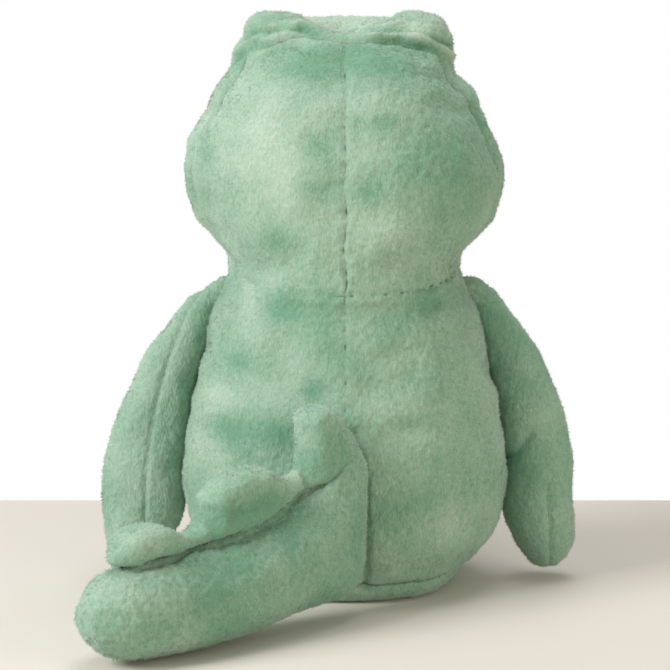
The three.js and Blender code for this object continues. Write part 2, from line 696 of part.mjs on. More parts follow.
// Tail, drawn along +X from its upright axis
const tailCurve = new THREE.CatmullRomCurve3([
  vector(TAIL_ROOT_RADIUS, TAIL_ROOT_TOP, 0),
  vector(TAIL_NECK_HALF_WIDTH, TAIL_NECK_TOP, TAIL_NECK_REACH),
  vector(TAIL_WAIST_HALF_WIDTH, TAIL_WAIST_TOP, TAIL_WAIST_REACH),
  vector(TAIL_END_HALF_WIDTH, TAIL_END_TOP, TAIL_LENGTH),
]);

function tailSection(along) {
  const size = sizeAt(tailCurve, along);
  const bottom = lerp(TAIL_ROOT_BOTTOM, FLOOR_GAP, Math.min(Math.max(along, 0) / TAIL_LANDING, 1));
  return { halfWidth: size.x, middle: (size.y + bottom) / 2, halfHeight: (size.y - bottom) / 2 };
}

function tailShape(inset) {
  const rootRadius = TAIL_ROOT_RADIUS - inset;
  const list = stations(0, TAIL_LENGTH - inset, TAIL_ROUNDING, TAIL_LEVELS);
  for (const turn of CAP_TURNS) {
    list.unshift({ along: -rootRadius * Math.sin(turn), taper: Math.cos(turn) });
  }
  const rings = list.map(({ along, taper }) => {
    const section = tailSection(along);
    const wide = vector(0, (section.halfWidth - inset) * taper, 0);
    const tall = vector(0, 0, (section.halfHeight - inset) * taper);
    return ring(vector(along, 0, section.middle), wide, tall, TAIL_SIDES);
  });
  const root = vector(-rootRadius, 0, tailSection(0).middle);
  const end = vector(TAIL_LENGTH - inset, 0, tailSection(TAIL_LENGTH).middle);
  return loft(root, rings, end);
}

function tailTop(along) {
  const section = tailSection(along);
  return section.middle + section.halfHeight;
}

function crestShape(inset) {
  const points = [];
  let start = CREST_START;
  for (const { length, height } of lobes) {
    for (let i = 0; i < LOBE_STEPS; i++) {
      const share = i / LOBE_STEPS;
      const along = start + share * length;
      const rise = lerp(CREST_VALLEY, height, Math.sqrt(1 - (2 * share - 1) ** 2));
      points.push(new THREE.Vector2(along, tailTop(along) + rise));
    }
    start += length;
  }
  points.push(new THREE.Vector2(start, tailTop(start) + CREST_VALLEY));
  for (const share of [1, 0.75, 0.5, 0.25, 0]) {
    const along = lerp(CREST_START, start, share);
    points.push(new THREE.Vector2(along, tailTop(along) - CREST_ROOT_DEPTH));
  }
  const geometry = new THREE.ExtrudeGeometry(new THREE.Shape(points), {
    depth: CREST_THICKNESS - 2 * CREST_ROUND,
    bevelSize: CREST_ROUND - inset,
    bevelThickness: CREST_ROUND - inset,
    bevelOffset: -CREST_ROUND,
    bevelSegments: 2,
  });
  geometry.translate(0, 0, CREST_ROUND - CREST_THICKNESS / 2);
  geometry.rotateX(Math.PI / 2);
  return solid(geometry);
}

function makeTail() {
  const group = new THREE.Group();
  group.position.copy(tailAxis);
  group.rotation.z = -Math.PI / 2 - degToRad(TAIL_TURN);
  const outer = tailShape(0);
  const cloth = outer.subtract(tailShape(CLOTH));
  const middle = planeThrough(vector(0, 1, 0), vector(0, 0, 0));
  group.add(piece('tail_left', below(cloth, middle), PLUSH));
  group.add(piece('tail_right', above(cloth, middle), PLUSH));
  group.add(piece('tail_stuffing', tailShape(FILL_INSET), FILLING));
  const seat = tailShape(-SEAM_GAP);
  const crest = crestShape(0).subtract(crestShape(CLOTH)).subtract(seat);
  group.add(piece('crest_left', below(crest, middle), PLUSH));
  group.add(piece('crest_right', above(crest, middle), PLUSH));
  group.add(piece('crest_stuffing', crestShape(FILL_INSET).subtract(seat), FILLING));
  return group;
}

const crocodile = new THREE.Group();
crocodile.add(makeTorso());
crocodile.add(makeHead());
crocodile.add(makeArm('left', HAND_LEFT_HALF_WIDTH));
crocodile.add(makeArm('right', HAND_RIGHT_HALF_WIDTH));
for (const [hand, side] of Object.entries(SIDES)) {
  crocodile.add(makeLeg(hand, side));
}
crocodile.add(makeTail());

export default crocodile;
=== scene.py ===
import json
import math
import bpy
import numpy as np
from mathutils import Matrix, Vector

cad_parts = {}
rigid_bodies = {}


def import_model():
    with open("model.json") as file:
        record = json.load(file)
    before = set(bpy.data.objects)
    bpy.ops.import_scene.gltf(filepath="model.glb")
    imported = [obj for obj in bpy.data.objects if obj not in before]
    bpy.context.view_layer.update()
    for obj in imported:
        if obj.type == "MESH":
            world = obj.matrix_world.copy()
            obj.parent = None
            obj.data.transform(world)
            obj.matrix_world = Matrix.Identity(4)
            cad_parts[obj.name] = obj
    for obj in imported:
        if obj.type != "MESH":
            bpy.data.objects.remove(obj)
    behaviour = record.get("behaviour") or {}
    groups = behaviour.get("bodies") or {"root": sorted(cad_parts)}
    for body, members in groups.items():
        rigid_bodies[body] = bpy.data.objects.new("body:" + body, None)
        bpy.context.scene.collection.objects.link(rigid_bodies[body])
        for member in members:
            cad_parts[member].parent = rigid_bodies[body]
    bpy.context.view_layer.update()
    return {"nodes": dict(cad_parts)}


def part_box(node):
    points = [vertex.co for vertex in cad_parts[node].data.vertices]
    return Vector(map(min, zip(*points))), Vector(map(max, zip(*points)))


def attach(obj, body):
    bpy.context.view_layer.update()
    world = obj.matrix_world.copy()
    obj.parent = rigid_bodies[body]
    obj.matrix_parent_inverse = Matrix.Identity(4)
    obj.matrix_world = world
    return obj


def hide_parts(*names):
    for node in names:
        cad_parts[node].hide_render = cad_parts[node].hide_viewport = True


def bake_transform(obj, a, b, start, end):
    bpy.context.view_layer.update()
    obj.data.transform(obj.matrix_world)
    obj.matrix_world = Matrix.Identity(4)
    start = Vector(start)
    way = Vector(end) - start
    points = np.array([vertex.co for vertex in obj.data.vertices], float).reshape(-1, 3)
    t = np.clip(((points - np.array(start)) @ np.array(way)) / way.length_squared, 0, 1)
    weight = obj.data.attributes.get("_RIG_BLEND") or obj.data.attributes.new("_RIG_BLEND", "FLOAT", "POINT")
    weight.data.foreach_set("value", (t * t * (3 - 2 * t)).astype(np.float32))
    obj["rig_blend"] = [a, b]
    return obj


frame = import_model()
scene = bpy.context.scene
mm = 0.001  # lengths below are in millimetres
sides = {"left": -1, "right": 1}


def pickOnly(*objs):
    bpy.ops.object.select_all(action="DESELECT")
    for o in objs:
        o.select_set(True)
    bpy.context.view_layer.objects.active = objs[0]


def applyAll(obj):
    pickOnly(obj)
    for m in list(obj.modifiers):
        bpy.ops.object.modifier_apply(modifier=m.name)


def sortFaces(farSpot=(3.1, 1.7, 5.3)):  # a new ball has its faces in another order at each run
    scene.cursor.location = farSpot
    bpy.ops.object.mode_set(mode="EDIT")
    bpy.ops.mesh.select_all(action="SELECT")
    bpy.ops.mesh.sort_elements(type="CURSOR_DISTANCE", elements={"FACE"})
    bpy.ops.object.mode_set(mode="OBJECT")
    scene.cursor.location = (0, 0, 0)


def addBall(centre, radii, segments=48):
    bpy.ops.object.select_all(action="DESELECT")
    bpy.ops.mesh.primitive_uv_sphere_add(segments=segments, ring_count=segments // 2, radius=1)
    sortFaces()
    ball = bpy.context.object
    ball.scale = [r * mm for r in radii]
    ball.location = [c * mm for c in centre]
    bpy.ops.object.transform_apply(location=True, rotation=True, scale=True)
    return ball


def copyNodes(name, nodes, extra=()):
    copies = list(extra)
    for n in nodes:
        source = frame["nodes"][n]
        mesh = source.data.copy()
        mesh.transform(source.matrix_world)
        dup = bpy.data.objects.new(name, mesh)
        scene.collection.objects.link(dup)
        copies.append(dup)
    pickOnly(copies[-1], *copies[:-1])
    bpy.ops.object.join()
    obj = bpy.context.object
    obj.name = name
    obj.data.name = name
    obj.data.materials.clear()
    bpy.ops.object.mode_set(mode="EDIT")
    bpy.ops.mesh.select_all(action="SELECT")
    bpy.ops.mesh.remove_doubles(threshold=0.00001)
    bpy.ops.object.mode_set(mode="OBJECT")
    return obj


def points(obj):
    flat = np.empty(len(obj.data.vertices) * 3)
    obj.data.vertices.foreach_get("co", flat)
    return flat.reshape(-1, 3) / mm


def place(obj, pts):
    obj.data.vertices.foreach_set("co", (pts * mm).ravel())
    obj.data.update()


def facing(obj):
    flat = np.empty(len(obj.data.vertices) * 3, dtype=np.float32)
    obj.data.vertex_normals.foreach_get("vector", flat)
    return flat.reshape(-1, 3).astype(float)


def keepAbove(obj, floor):
    p = points(obj)
    p[:, 2] = np.maximum(p[:, 2], floor)
    place(obj, p)


def smoothShaded(obj):
    obj.data.polygons.foreach_set("use_smooth", [True] * len(obj.data.polygons))


def keepLargest(obj):
    pickOnly(obj)
    name = obj.name
    bpy.ops.object.mode_set(mode="EDIT")
    bpy.ops.mesh.select_all(action="SELECT")
    bpy.ops.mesh.separate(type="LOOSE")
    bpy.ops.object.mode_set(mode="OBJECT")
    parts = sorted(bpy.context.selected_objects, key=lambda o: len(o.data.vertices))
    for o in parts[:-1]:
        bpy.data.objects.remove(o)
    parts[-1].name = name
    pickOnly(parts[-1])
    return parts[-1]


def voxelSkin(obj, size):
    m = obj.modifiers.new("Remesh", "REMESH")
    m.mode = "VOXEL"
    m.voxel_size = size * mm
    applyAll(obj)
    return keepLargest(obj)


def relax(obj, times, factor=0.5):
    m = obj.modifiers.new("Smooth", "SMOOTH")
    m.factor = factor
    m.iterations = times
    applyAll(obj)


def refine(obj, levels):
    m = obj.modifiers.new("Subdivision", "SUBSURF")
    m.levels = levels
    m.render_levels = levels
    applyAll(obj)


def puff(obj, held, values):
    start = points(obj)
    group = obj.vertex_groups.new(name="held")
    group.add([int(i) for i in np.nonzero(held)[0]], 1.0, "REPLACE")
    pickOnly(obj)
    m = obj.modifiers.new("Cloth", "CLOTH")
    s = m.settings
    s.quality = 5
    s.mass = 0.3
    s.tension_stiffness = values["stiff"]
    s.compression_stiffness = values["stiff"]
    s.shear_stiffness = values["stiff"] / 3
    s.bending_stiffness = values["bend"]
    s.use_pressure = True
    s.uniform_pressure_force = values["pressure"]
    s.effector_weights.gravity = 0
    s.vertex_group_mass = "held"
    s.shrink_min = -values["slack"]
    m.collision_settings.use_collision = False
    m.collision_settings.use_self_collision = False
    m.point_cache.frame_end = values["frames"]
    for f in range(1, values["frames"] + 1):
        scene.frame_set(f)
    bpy.ops.object.modifier_apply(modifier=m.name)
    moved = points(obj) - start
    far = np.linalg.norm(moved, axis=1, keepdims=True)
    moved *= np.minimum(1, values["cap"] / np.maximum(far, 1e-6))
    place(obj, start + moved)
    obj.vertex_groups.clear()
    scene.frame_set(1)
    relax(obj, 3, 0.4)
    print("puffed", obj.name, "mean", round(float(far.mean()), 2), "most", round(float(far.max()), 2))


gradients = np.array([[1, 1, 0], [-1, 1, 0], [1, -1, 0], [-1, -1, 0], [1, 0, 1], [-1, 0, 1], [1, 0, -1], [-1, 0, -1],
                      [0, 1, 1], [0, -1, 1], [0, 1, -1], [0, -1, -1]], dtype=float)


def grain(pts, size, seed):
    cells = pts / size
    low = np.floor(cells)
    part = cells - low
    low = low.astype(np.int64)
    smooth = part ** 3 * (part * (part * 6 - 15) + 10)
    total = np.zeros(len(pts))
    for corner in range(8):
        step = np.array([corner & 1, corner >> 1 & 1, corner >> 2 & 1])
        at = low + step
        code = at[:, 0] * 73856093 ^ at[:, 1] * 19349663 ^ at[:, 2] * 83492791 ^ seed * 2654435
        code = (code ^ code >> 13) * 1274126177
        slope = gradients[(code >> 8) % 12]
        share = np.prod(np.where(step == 1, smooth, 1 - smooth), axis=1)
        total += share * np.sum(slope * (part - step), axis=1)
    return total


def layered(pts, rows):
    return sum(weight * grain(pts, size, seed) for weight, size, seed in rows)


def ribbon(run, shift):  # places along a seam, for grain
    return np.stack([run, 0 * run, 0 * run], axis=1) + shift


def ease(x, low, high):
    t = np.clip((x - low) / (high - low), 0, 1)
    return t * t * (3 - 2 * t)


def along(x, table):
    return np.interp(x, [row[0] for row in table], [row[1] for row in table])


def lineGap(a, b, line):
    best = np.full(len(a), 1e9)
    run = np.zeros(len(a))
    done = 0.0
    for (a0, b0), (a1, b1) in zip(line[:-1], line[1:]):
        span = math.hypot(a1 - a0, b1 - b0)
        t = np.clip(((a - a0) * (a1 - a0) + (b - b0) * (b1 - b0)) / span ** 2, 0, 1)
        far = np.hypot(a - a0 - t * (a1 - a0), b - b0 - t * (b1 - b0))
        run = np.where(far < best, done + t * span, run)
        best = np.minimum(best, far)
        done += span
    return best, run


fabric = {"clumps": [(1.0, 3.1, 11), (0.7, 1.9, 12)], "mottle": [(0.45, 34, 21), (0.35, 15, 22)],
          "swirl": [(2.4, 28, 51), (1.8, 11, 52)], "comb": (0.1, 0.02, -1.0), "bare": (0.1, 1.4)}


class Sewing:  # seams gathered for one skin, then pressed into it together
    def __init__(self, obj):
        self.obj = obj
        self.pts = points(obj)
        self.push = np.zeros(len(self.pts))
        self.line = np.full(len(self.pts), 9.0)
        # the tone layer: random pile tone, plus painted shade and painted highlight added piece by piece
        self.nap = np.zeros(len(self.pts))

    def seam(self, gap, run, strength, depth=1.3, width=2.2, pucker=0.5, pitch=7.0, seed=1, bold=1.0):
        beat = grain(ribbon(run, 0.37), pitch, seed) * 1.6
        self.push -= strength * depth * np.exp(-(gap / width) ** 2)
        self.push += strength * pucker * beat * np.exp(-(gap / (2.6 * width)) ** 2)
        self.line = np.minimum(self.line, gap / bold + (1 - strength) * 1.8)

    # tone patches on the side facing the camera, partly painted shade and painted highlight
    def brush(self, marks):
        x, y, z = self.pts.T
        for markX, markZ, wide, tall, amount in marks:
            self.nap += amount * (y < 0) * np.exp(-((x - markX) / wide) ** 2 - ((z - markZ) / tall) ** 2)

    def finish(self, clump=0.32):
        p = self.pts
        self.push += clump * layered(p, fabric["clumps"])
        place(self.obj, p + facing(self.obj) * self.push[:, None])
        self.nap += layered(p, fabric["mottle"])
        out = facing(self.obj)
        way = np.array(fabric["comb"])
        down = way - out * (out @ way)[:, None]
        down /= np.maximum(np.linalg.norm(down, axis=1, keepdims=True), 0.05)
        turn = layered(p, fabric["swirl"])[:, None]
        comb = down * np.cos(turn) + np.cross(out, down) * np.sin(turn)
        layers = {"seamLine": self.line, "nap": self.nap, "pileSize": ease(self.line, *fabric["bare"])}
        for name, values in layers.items():
            layer = self.obj.data.attributes.new(name, "FLOAT", "POINT")
            layer.data.foreach_set("value", values.astype(np.float32))
        blade = self.obj.data.attributes.new("blade", "FLOAT_VECTOR", "POINT")
        blade.data.foreach_set("vector", (out + pile["lean"] * comb).astype(np.float32).ravel())
        smoothShaded(self.obj)
        self.obj.data.update()


def makeNode(tree, kind, at=(0, 0), operation=None, **inputs):
    n = tree.nodes.new(kind)
    n.location = at
    if operation:
        n.operation = operation
    for key, value in inputs.items():
        n.inputs[key].default_value = value
    return n


def newGroup(name, ins, outs, use="Shader"):
    tree = bpy.data.node_groups.new(name, use + "NodeTree")
    for label, kind in ins:
        tree.interface.new_socket(label, in_out="INPUT", socket_type="NodeSocket" + kind)
    for label, kind in outs:
        tree.interface.new_socket(label, in_out="OUTPUT", socket_type="NodeSocket" + kind)
    return tree, tree.nodes.new("NodeGroupInput"), tree.nodes.new("NodeGroupOutput")


def pileGroup():
    tree, start, end = newGroup("brushedPile",
                                [("Place", "Vector"), ("Nap", "Float"), ("Seam", "Float"),
                                 ("Dark", "Color"), ("Light", "Color")],
                                [("Colour", "Color"), ("Normal", "Vector")])
    link = tree.links.new
    scaled = makeNode(tree, "ShaderNodeVectorMath", (-900, 0), "SCALE", Scale=1000)
    link(start.outputs["Place"], scaled.inputs[0])
    combed = makeNode(tree, "ShaderNodeVectorMath", (-700, -200), "MULTIPLY")
    combed.inputs[1].default_value = (1, 1, 0.5)
    link(scaled.outputs[0], combed.inputs[0])
    clump = makeNode(tree, "ShaderNodeTexNoise", (-500, 100), Scale=0.34, Detail=1.5, Roughness=0.5)
    fibre = makeNode(tree, "ShaderNodeTexNoise", (-500, -200), Scale=0.95, Detail=2.0, Roughness=0.6)
    link(scaled.outputs[0], clump.inputs["Vector"])
    link(combed.outputs[0], fibre.inputs["Vector"])
    parts = [(start.outputs["Nap"], 0.6, 0.0), (clump.outputs["Fac"], 0.45, -0.5), (fibre.outputs["Fac"], 0.8, -0.5)]
    total = None
    for row, (socket, weight, shift) in enumerate(parts):
        moved = makeNode(tree, "ShaderNodeMath", (-300, -150 * row), "ADD")
        moved.inputs[1].default_value = shift
        link(socket, moved.inputs[0])
        sized = makeNode(tree, "ShaderNodeMath", (-120, -150 * row), "MULTIPLY_ADD")
        sized.inputs[1].default_value = weight
        sized.inputs[2].default_value = 0.5
        link(moved.outputs[0], sized.inputs[0])
        if total is not None:
            link(total.outputs[0], sized.inputs[2])
        total = sized
    tint = makeNode(tree, "ShaderNodeMix", (100, 100))
    tint.data_type = "RGBA"
    link(total.outputs[0], tint.inputs["Factor"])
    link(start.outputs["Dark"], tint.inputs["A"])
    link(start.outputs["Light"], tint.inputs["B"])
    # colour is darkened along the seams: dark seam lines, partly painted shade of the seam grooves
    thread = makeNode(tree, "ShaderNodeMapRange", (100, -150))
    thread.interpolation_type = "SMOOTHSTEP"
    thread.inputs["From Min"].default_value = 0.15
    thread.inputs["From Max"].default_value = 0.9
    thread.inputs["To Min"].default_value = 0.42
    thread.inputs["To Max"].default_value = 1.0
    link(start.outputs["Seam"], thread.inputs["Value"])
    shade = makeNode(tree, "ShaderNodeMix", (300, 100))
    shade.data_type = "RGBA"
    shade.blend_type = "MULTIPLY"
    shade.inputs["Factor"].default_value = 1
    link(tint.outputs["Result"], shade.inputs["A"])
    link(thread.outputs["Result"], shade.inputs["B"])
    mixed = makeNode(tree, "ShaderNodeMath", (100, -350), "ADD")
    link(clump.outputs["Fac"], mixed.inputs[0])
    link(fibre.outputs["Fac"], mixed.inputs[1])
    bump = makeNode(tree, "ShaderNodeBump", (300, -350), Strength=0.55, Distance=0.0011)
    link(mixed.outputs[0], bump.inputs["Height"])
    link(shade.outputs["Result"], end.inputs["Colour"])
    link(bump.outputs["Normal"], end.inputs["Normal"])
    return tree


def plainMaterial(name, colour, roughness):
    mat = bpy.data.materials.new(name)
    mat.use_nodes = True
    shader = mat.node_tree.nodes["Principled BSDF"]
    shader.inputs["Base Color"].default_value = (*colour, 1)
    shader.inputs["Roughness"].default_value = roughness
    return mat, shader


def surfaceGroup(name, woven):  # cloth is woven of crossing threads, other surfaces are finely grained
    tree, start, end = newGroup(name, [("Place", "Vector"), ("Scale", "Float"), ("Dark", "Color"), ("Light", "Color"),
                                       ("Depth", "Float")], [("Colour", "Color"), ("Normal", "Vector")])
    link = tree.links.new
    if woven:
        threads = [makeNode(tree, "ShaderNodeTexWave", (-500, -250 * row), Distortion=0.4) for row in (0, 1)]
        for thread, way in zip(threads, "XZ"):
            thread.bands_direction = way
            link(start.outputs["Place"], thread.inputs["Vector"])
            link(start.outputs["Scale"], thread.inputs["Scale"])
        pattern = makeNode(tree, "ShaderNodeMath", (-300, 0), "MAXIMUM")
        link(threads[0].outputs["Fac"], pattern.inputs[0])
        link(threads[1].outputs["Fac"], pattern.inputs[1])
    else:
        pattern = makeNode(tree, "ShaderNodeTexNoise", (-300, 0), Detail=2.0)
        link(start.outputs["Place"], pattern.inputs["Vector"])
        link(start.outputs["Scale"], pattern.inputs["Scale"])
    tint = makeNode(tree, "ShaderNodeMix", (-100, 100))
    tint.data_type = "RGBA"
    link(pattern.outputs[0], tint.inputs["Factor"])
    link(start.outputs["Dark"], tint.inputs["A"])
    link(start.outputs["Light"], tint.inputs["B"])
    bump = makeNode(tree, "ShaderNodeBump", (100, -200), Distance=0.0002)
    link(start.outputs["Depth"], bump.inputs["Strength"])
    link(pattern.outputs[0], bump.inputs["Height"])
    link(tint.outputs["Result"], end.inputs["Colour"])
    link(bump.outputs["Normal"], end.inputs["Normal"])
    return tree


surfaces = {"grained": surfaceGroup("fineGrain", False), "woven": surfaceGroup("plainWeave", True)}


def surfaceMaterial(name, colour, roughness, kind, scale, spread, depth):
    mat, shader = plainMaterial(name, colour, roughness)
    tree = mat.node_tree
    surface = tree.nodes.new("ShaderNodeGroup")
    surface.node_tree = surfaces[kind]
    surface.inputs["Scale"].default_value = scale
    surface.inputs["Dark"].default_value = (*[c * (1 - spread) for c in colour], 1)
    surface.inputs["Light"].default_value = (*[c * (1 + spread) for c in colour], 1)
    surface.inputs["Depth"].default_value = depth
    coords = tree.nodes.new("ShaderNodeTexCoord")
    tree.links.new(coords.outputs["Object"], surface.inputs["Place"])
    tree.links.new(surface.outputs["Colour"], shader.inputs["Base Color"])
    tree.links.new(surface.outputs["Normal"], shader.inputs["Normal"])
    return mat


plushLook = {"base": (0.27, 0.47, 0.33), "dark": (0.165, 0.345, 0.225, 1), "light": (0.47, 0.595, 0.475, 1),
             "roughness": 0.92, "specular": 0.15, "sheen": 0.45, "sheenRough": 0.45,
             "sheenTint": (0.80, 0.92, 0.83, 1)}


def softSheen(shader, v):
    shader.inputs["Specular IOR Level"].default_value = v["specular"]
    shader.inputs["Sheen Weight"].default_value = v["sheen"]
    shader.inputs["Sheen Roughness"].default_value = v["sheenRough"]


def plushMaterial():
    v = plushLook
    mat, shader = plainMaterial("sagePlush", v["base"], v["roughness"])
    tree = mat.node_tree
    pileToneShading = tree.nodes.new("ShaderNodeGroup")
    pileToneShading.node_tree = pileGroup()
    pileToneShading.inputs["Dark"].default_value = v["dark"]
    pileToneShading.inputs["Light"].default_value = v["light"]
    coords = tree.nodes.new("ShaderNodeTexCoord")
    tree.links.new(coords.outputs["Object"], pileToneShading.inputs["Place"])
    for label, name in (("Nap", "nap"), ("Seam", "seamLine")):
        layer = tree.nodes.new("ShaderNodeAttribute")
        layer.attribute_name = name
        tree.links.new(layer.outputs["Fac"], pileToneShading.inputs[label])
    tree.links.new(pileToneShading.outputs["Colour"], shader.inputs["Base Color"])
    tree.links.new(pileToneShading.outputs["Normal"], shader.inputs["Normal"])
    softSheen(shader, v)
    shader.inputs["Sheen Tint"].default_value = v["sheenTint"]
    return mat


plush = plushMaterial()

pile = {"length": 1.45, "base": 0.25, "sink": 0.35, "lean": 0.5, "density": 0.6, "shake": 0.28, "even": 0.8,
        "sizes": (0.65, 1.2), "shortest": 0.15, "toneRange": (0.6, 3.4), "toneNapAndShade": 1.5,
        "roughness": 0.95, "specular": 0.1, "sheen": 0.4, "sheenRough": 0.5,
        "tones": [(0.21, 0.395, 0.27), (0.275, 0.455, 0.325), (0.355, 0.52, 0.39), (0.44, 0.585, 0.46)]}
tufts = bpy.data.collections.new("tufts")


def makeTufts():
    v = pile
    for number, tone in enumerate(v["tones"]):
        bpy.ops.object.select_all(action="DESELECT")
        middle = (v["length"] / 2 - v["sink"]) * mm
        bpy.ops.mesh.primitive_cone_add(vertices=3, radius1=v["base"] * mm, depth=v["length"] * mm,
                                        location=(0, 0, middle))
        bpy.ops.object.transform_apply(location=True, rotation=True, scale=True)
        bpy.ops.object.shade_smooth()
        tuft = bpy.context.object
        tuft.name = "tuft%d" % number
        mat = surfaceMaterial("pileTone%d" % number, tone, v["roughness"], "grained", scale=420, spread=0.12, depth=0)
        softSheen(mat.node_tree.nodes["Principled BSDF"], v)
        tuft.data.materials.append(mat)
        for c in list(tuft.users_collection):
            c.objects.unlink(tuft)
        tufts.objects.link(tuft)


def pileTree():
    v = pile
    tree, start, end = newGroup("growPile", [("Geometry", "Geometry"), ("Density", "Float"), ("Seed", "Int")],
                                [("Geometry", "Geometry")], use="Geometry")
    link = tree.links.new
    scatter = tree.nodes.new("GeometryNodeDistributePointsOnFaces")
    link(start.outputs["Geometry"], scatter.inputs["Mesh"])
    link(start.outputs["Density"], scatter.inputs["Density"])
    link(start.outputs["Seed"], scatter.inputs["Seed"])
    layers = {}
    for name, kind in (("blade", "FLOAT_VECTOR"), ("pileSize", "FLOAT"), ("nap", "FLOAT")):
        layers[name] = tree.nodes.new("GeometryNodeInputNamedAttribute")
        layers[name].data_type = kind
        layers[name].inputs["Name"].default_value = name
    shake = tree.nodes.new("FunctionNodeRandomValue")
    shake.data_type = "FLOAT_VECTOR"
    shake.inputs[0].default_value = (-v["shake"],) * 3
    shake.inputs[1].default_value = (v["shake"],) * 3
    way = tree.nodes.new("ShaderNodeVectorMath")
    link(layers["blade"].outputs["Attribute"], way.inputs[0])
    link(shake.outputs[0], way.inputs[1])
    turn = tree.nodes.new("FunctionNodeAlignRotationToVector")
    turn.axis = "Z"
    link(way.outputs[0], turn.inputs["Vector"])
    vary = tree.nodes.new("FunctionNodeRandomValue")
    vary.inputs[2].default_value, vary.inputs[3].default_value = v["sizes"]
    vary.inputs["Seed"].default_value = 1
    size = makeNode(tree, "ShaderNodeMath", operation="MULTIPLY")
    link(vary.outputs[1], size.inputs[0])
    link(layers["pileSize"].outputs["Attribute"], size.inputs[1])
    chance = tree.nodes.new("FunctionNodeRandomValue")
    chance.inputs[2].default_value, chance.inputs[3].default_value = v["toneRange"]
    chance.inputs["Seed"].default_value = 2
    # the tufts' tone follows the cloth's tone layer, painted shade and painted highlight included
    tone = makeNode(tree, "ShaderNodeMath", operation="MULTIPLY_ADD")
    tone.inputs[1].default_value = v["toneNapAndShade"]
    link(layers["nap"].outputs["Attribute"], tone.inputs[0])
    link(chance.outputs[1], tone.inputs[2])
    kept = tree.nodes.new("ShaderNodeClamp")
    kept.inputs["Max"].default_value = len(v["tones"]) - 0.51
    link(tone.outputs[0], kept.inputs["Value"])
    whole = makeNode(tree, "ShaderNodeMath", operation="FLOOR")
    link(kept.outputs[0], whole.inputs[0])
    grown = makeNode(tree, "ShaderNodeMath", operation="GREATER_THAN")
    grown.inputs[1].default_value = v["shortest"]
    link(layers["pileSize"].outputs["Attribute"], grown.inputs[0])
    source = tree.nodes.new("GeometryNodeCollectionInfo")
    source.inputs["Collection"].default_value = tufts
    source.inputs["Separate Children"].default_value = True
    source.inputs["Reset Children"].default_value = True
    spread = tree.nodes.new("GeometryNodeInstanceOnPoints")
    spread.inputs["Pick Instance"].default_value = True
    link(scatter.outputs["Points"], spread.inputs["Points"])
    link(grown.outputs[0], spread.inputs["Selection"])
    link(source.outputs[0], spread.inputs["Instance"])
    link(whole.outputs[0], spread.inputs["Instance Index"])
    link(turn.outputs[0], spread.inputs["Rotation"])
    link(size.outputs[0], spread.inputs["Scale"])
    real = tree.nodes.new("GeometryNodeRealizeInstances")
    link(spread.outputs[0], real.inputs[0])
    link(real.outputs[0], end.inputs["Geometry"])
    return tree


makeTufts()
pileNodes = pileTree()


def growPile(skin, seed, floor=None, thin=1.0):
    hairs = skin.copy()
    hairs.data = skin.data.copy()
    hairs.name = skin.name.replace("skin", "pile")
    hairs.data.name = hairs.name
    hairs.data.materials.clear()
    scene.collection.objects.link(hairs)
    m = hairs.modifiers.new("Pile", "NODES")
    m.node_group = pileNodes
    for item in pileNodes.interface.items_tree:
        if item.in_out == "INPUT" and item.name in ("Density", "Seed"):
            m[item.identifier] = pile["density"] * thin * 1e6 if item.name == "Density" else seed
    applyAll(hairs)
    for layer in [a.name for a in hairs.data.attributes if a.name in ("blade", "pileSize", "nap", "seamLine")]:
        hairs.data.attributes.remove(hairs.data.attributes[layer])
    for layer in ("blade", "pileSize"):
        skin.data.attributes.remove(skin.data.attributes[layer])
    m = hairs.modifiers.new("Normals", "DATA_TRANSFER")  # the pile is shaded like the cloth under it
    m.object = skin
    m.use_loop_data = True
    m.data_types_loops = {"CUSTOM_NORMAL"}
    m.loop_mapping = "POLYINTERP_NEAREST"
    m.mix_factor = pile["even"]
    applyAll(hairs)
    if floor is not None:
        keepAbove(hairs, floor)
    hairs.visible_shadow = False  # thin fibres let the light through
    print("grew", hairs.name, len(hairs.data.polygons), "faces on", len(skin.data.polygons))
    return hairs


def dress(skin, panels, join, seed, floor=None, thin=1.0):  # join ties the skin and its pile to their bodies
    skin.data.materials.append(plush)
    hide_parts(*panels)
    for cloth in (skin, growPile(skin, seed, floor, thin)):
        join(cloth)


print("materials made")

neck = {"height": 150, "tilt": math.tan(math.radians(9)), "pivot": 117, "cup": 64.3, "voxel": 4.0, "relax": 7,
        "skirt": 8, "sideHem": 4.5, "lap": 0.7, "waist": 6.5, "waistRise": 2, "waistWide": 10,
        "bendStart": -30, "bendEnd": -6, "girth": 56, "ticks": [(1.0, 4.5, 61), (0.6, 2.1, 63)],
        "fills": [((0, -63, 62), (13, 7, 40)), ((-52, 5, 138), (9, 9, 9)), ((52, 5, 138), (9, 9, 9))]}
bodyPanels = ["body_back_left", "body_back_right", "belly_panel", "base_panel", "body_stuffing", "pellet_pouch"]
headPanels = ["head_back_left", "head_back_right", "brow_panel_left", "brow_panel_right", "snout_top", "jaw_panel",
              "head_stuffing"]


def neckLevel(y):
    return neck["height"] + neck["tilt"] * y


def neckPlug():
    plug = addBall((0, 0, neck["pivot"]), (neck["cup"],) * 3)
    p = points(plug)
    p[:, 2] = np.maximum(p[:, 2], neckLevel(p[:, 1]))
    place(plug, p)
    return plug


def bodyFills():  # the tail groove and the shoulder sockets don't show in the cloth
    return [addBall(middle, radii) for middle, radii in neck["fills"]]


def makeNeckForm():  # head and body as one form, which both cloths follow near the neck seam
    form = voxelSkin(copyNodes("neckForm", bodyPanels + headPanels, [neckPlug(), *bodyFills()]), neck["voxel"])
    relax(form, neck["relax"])
    return form


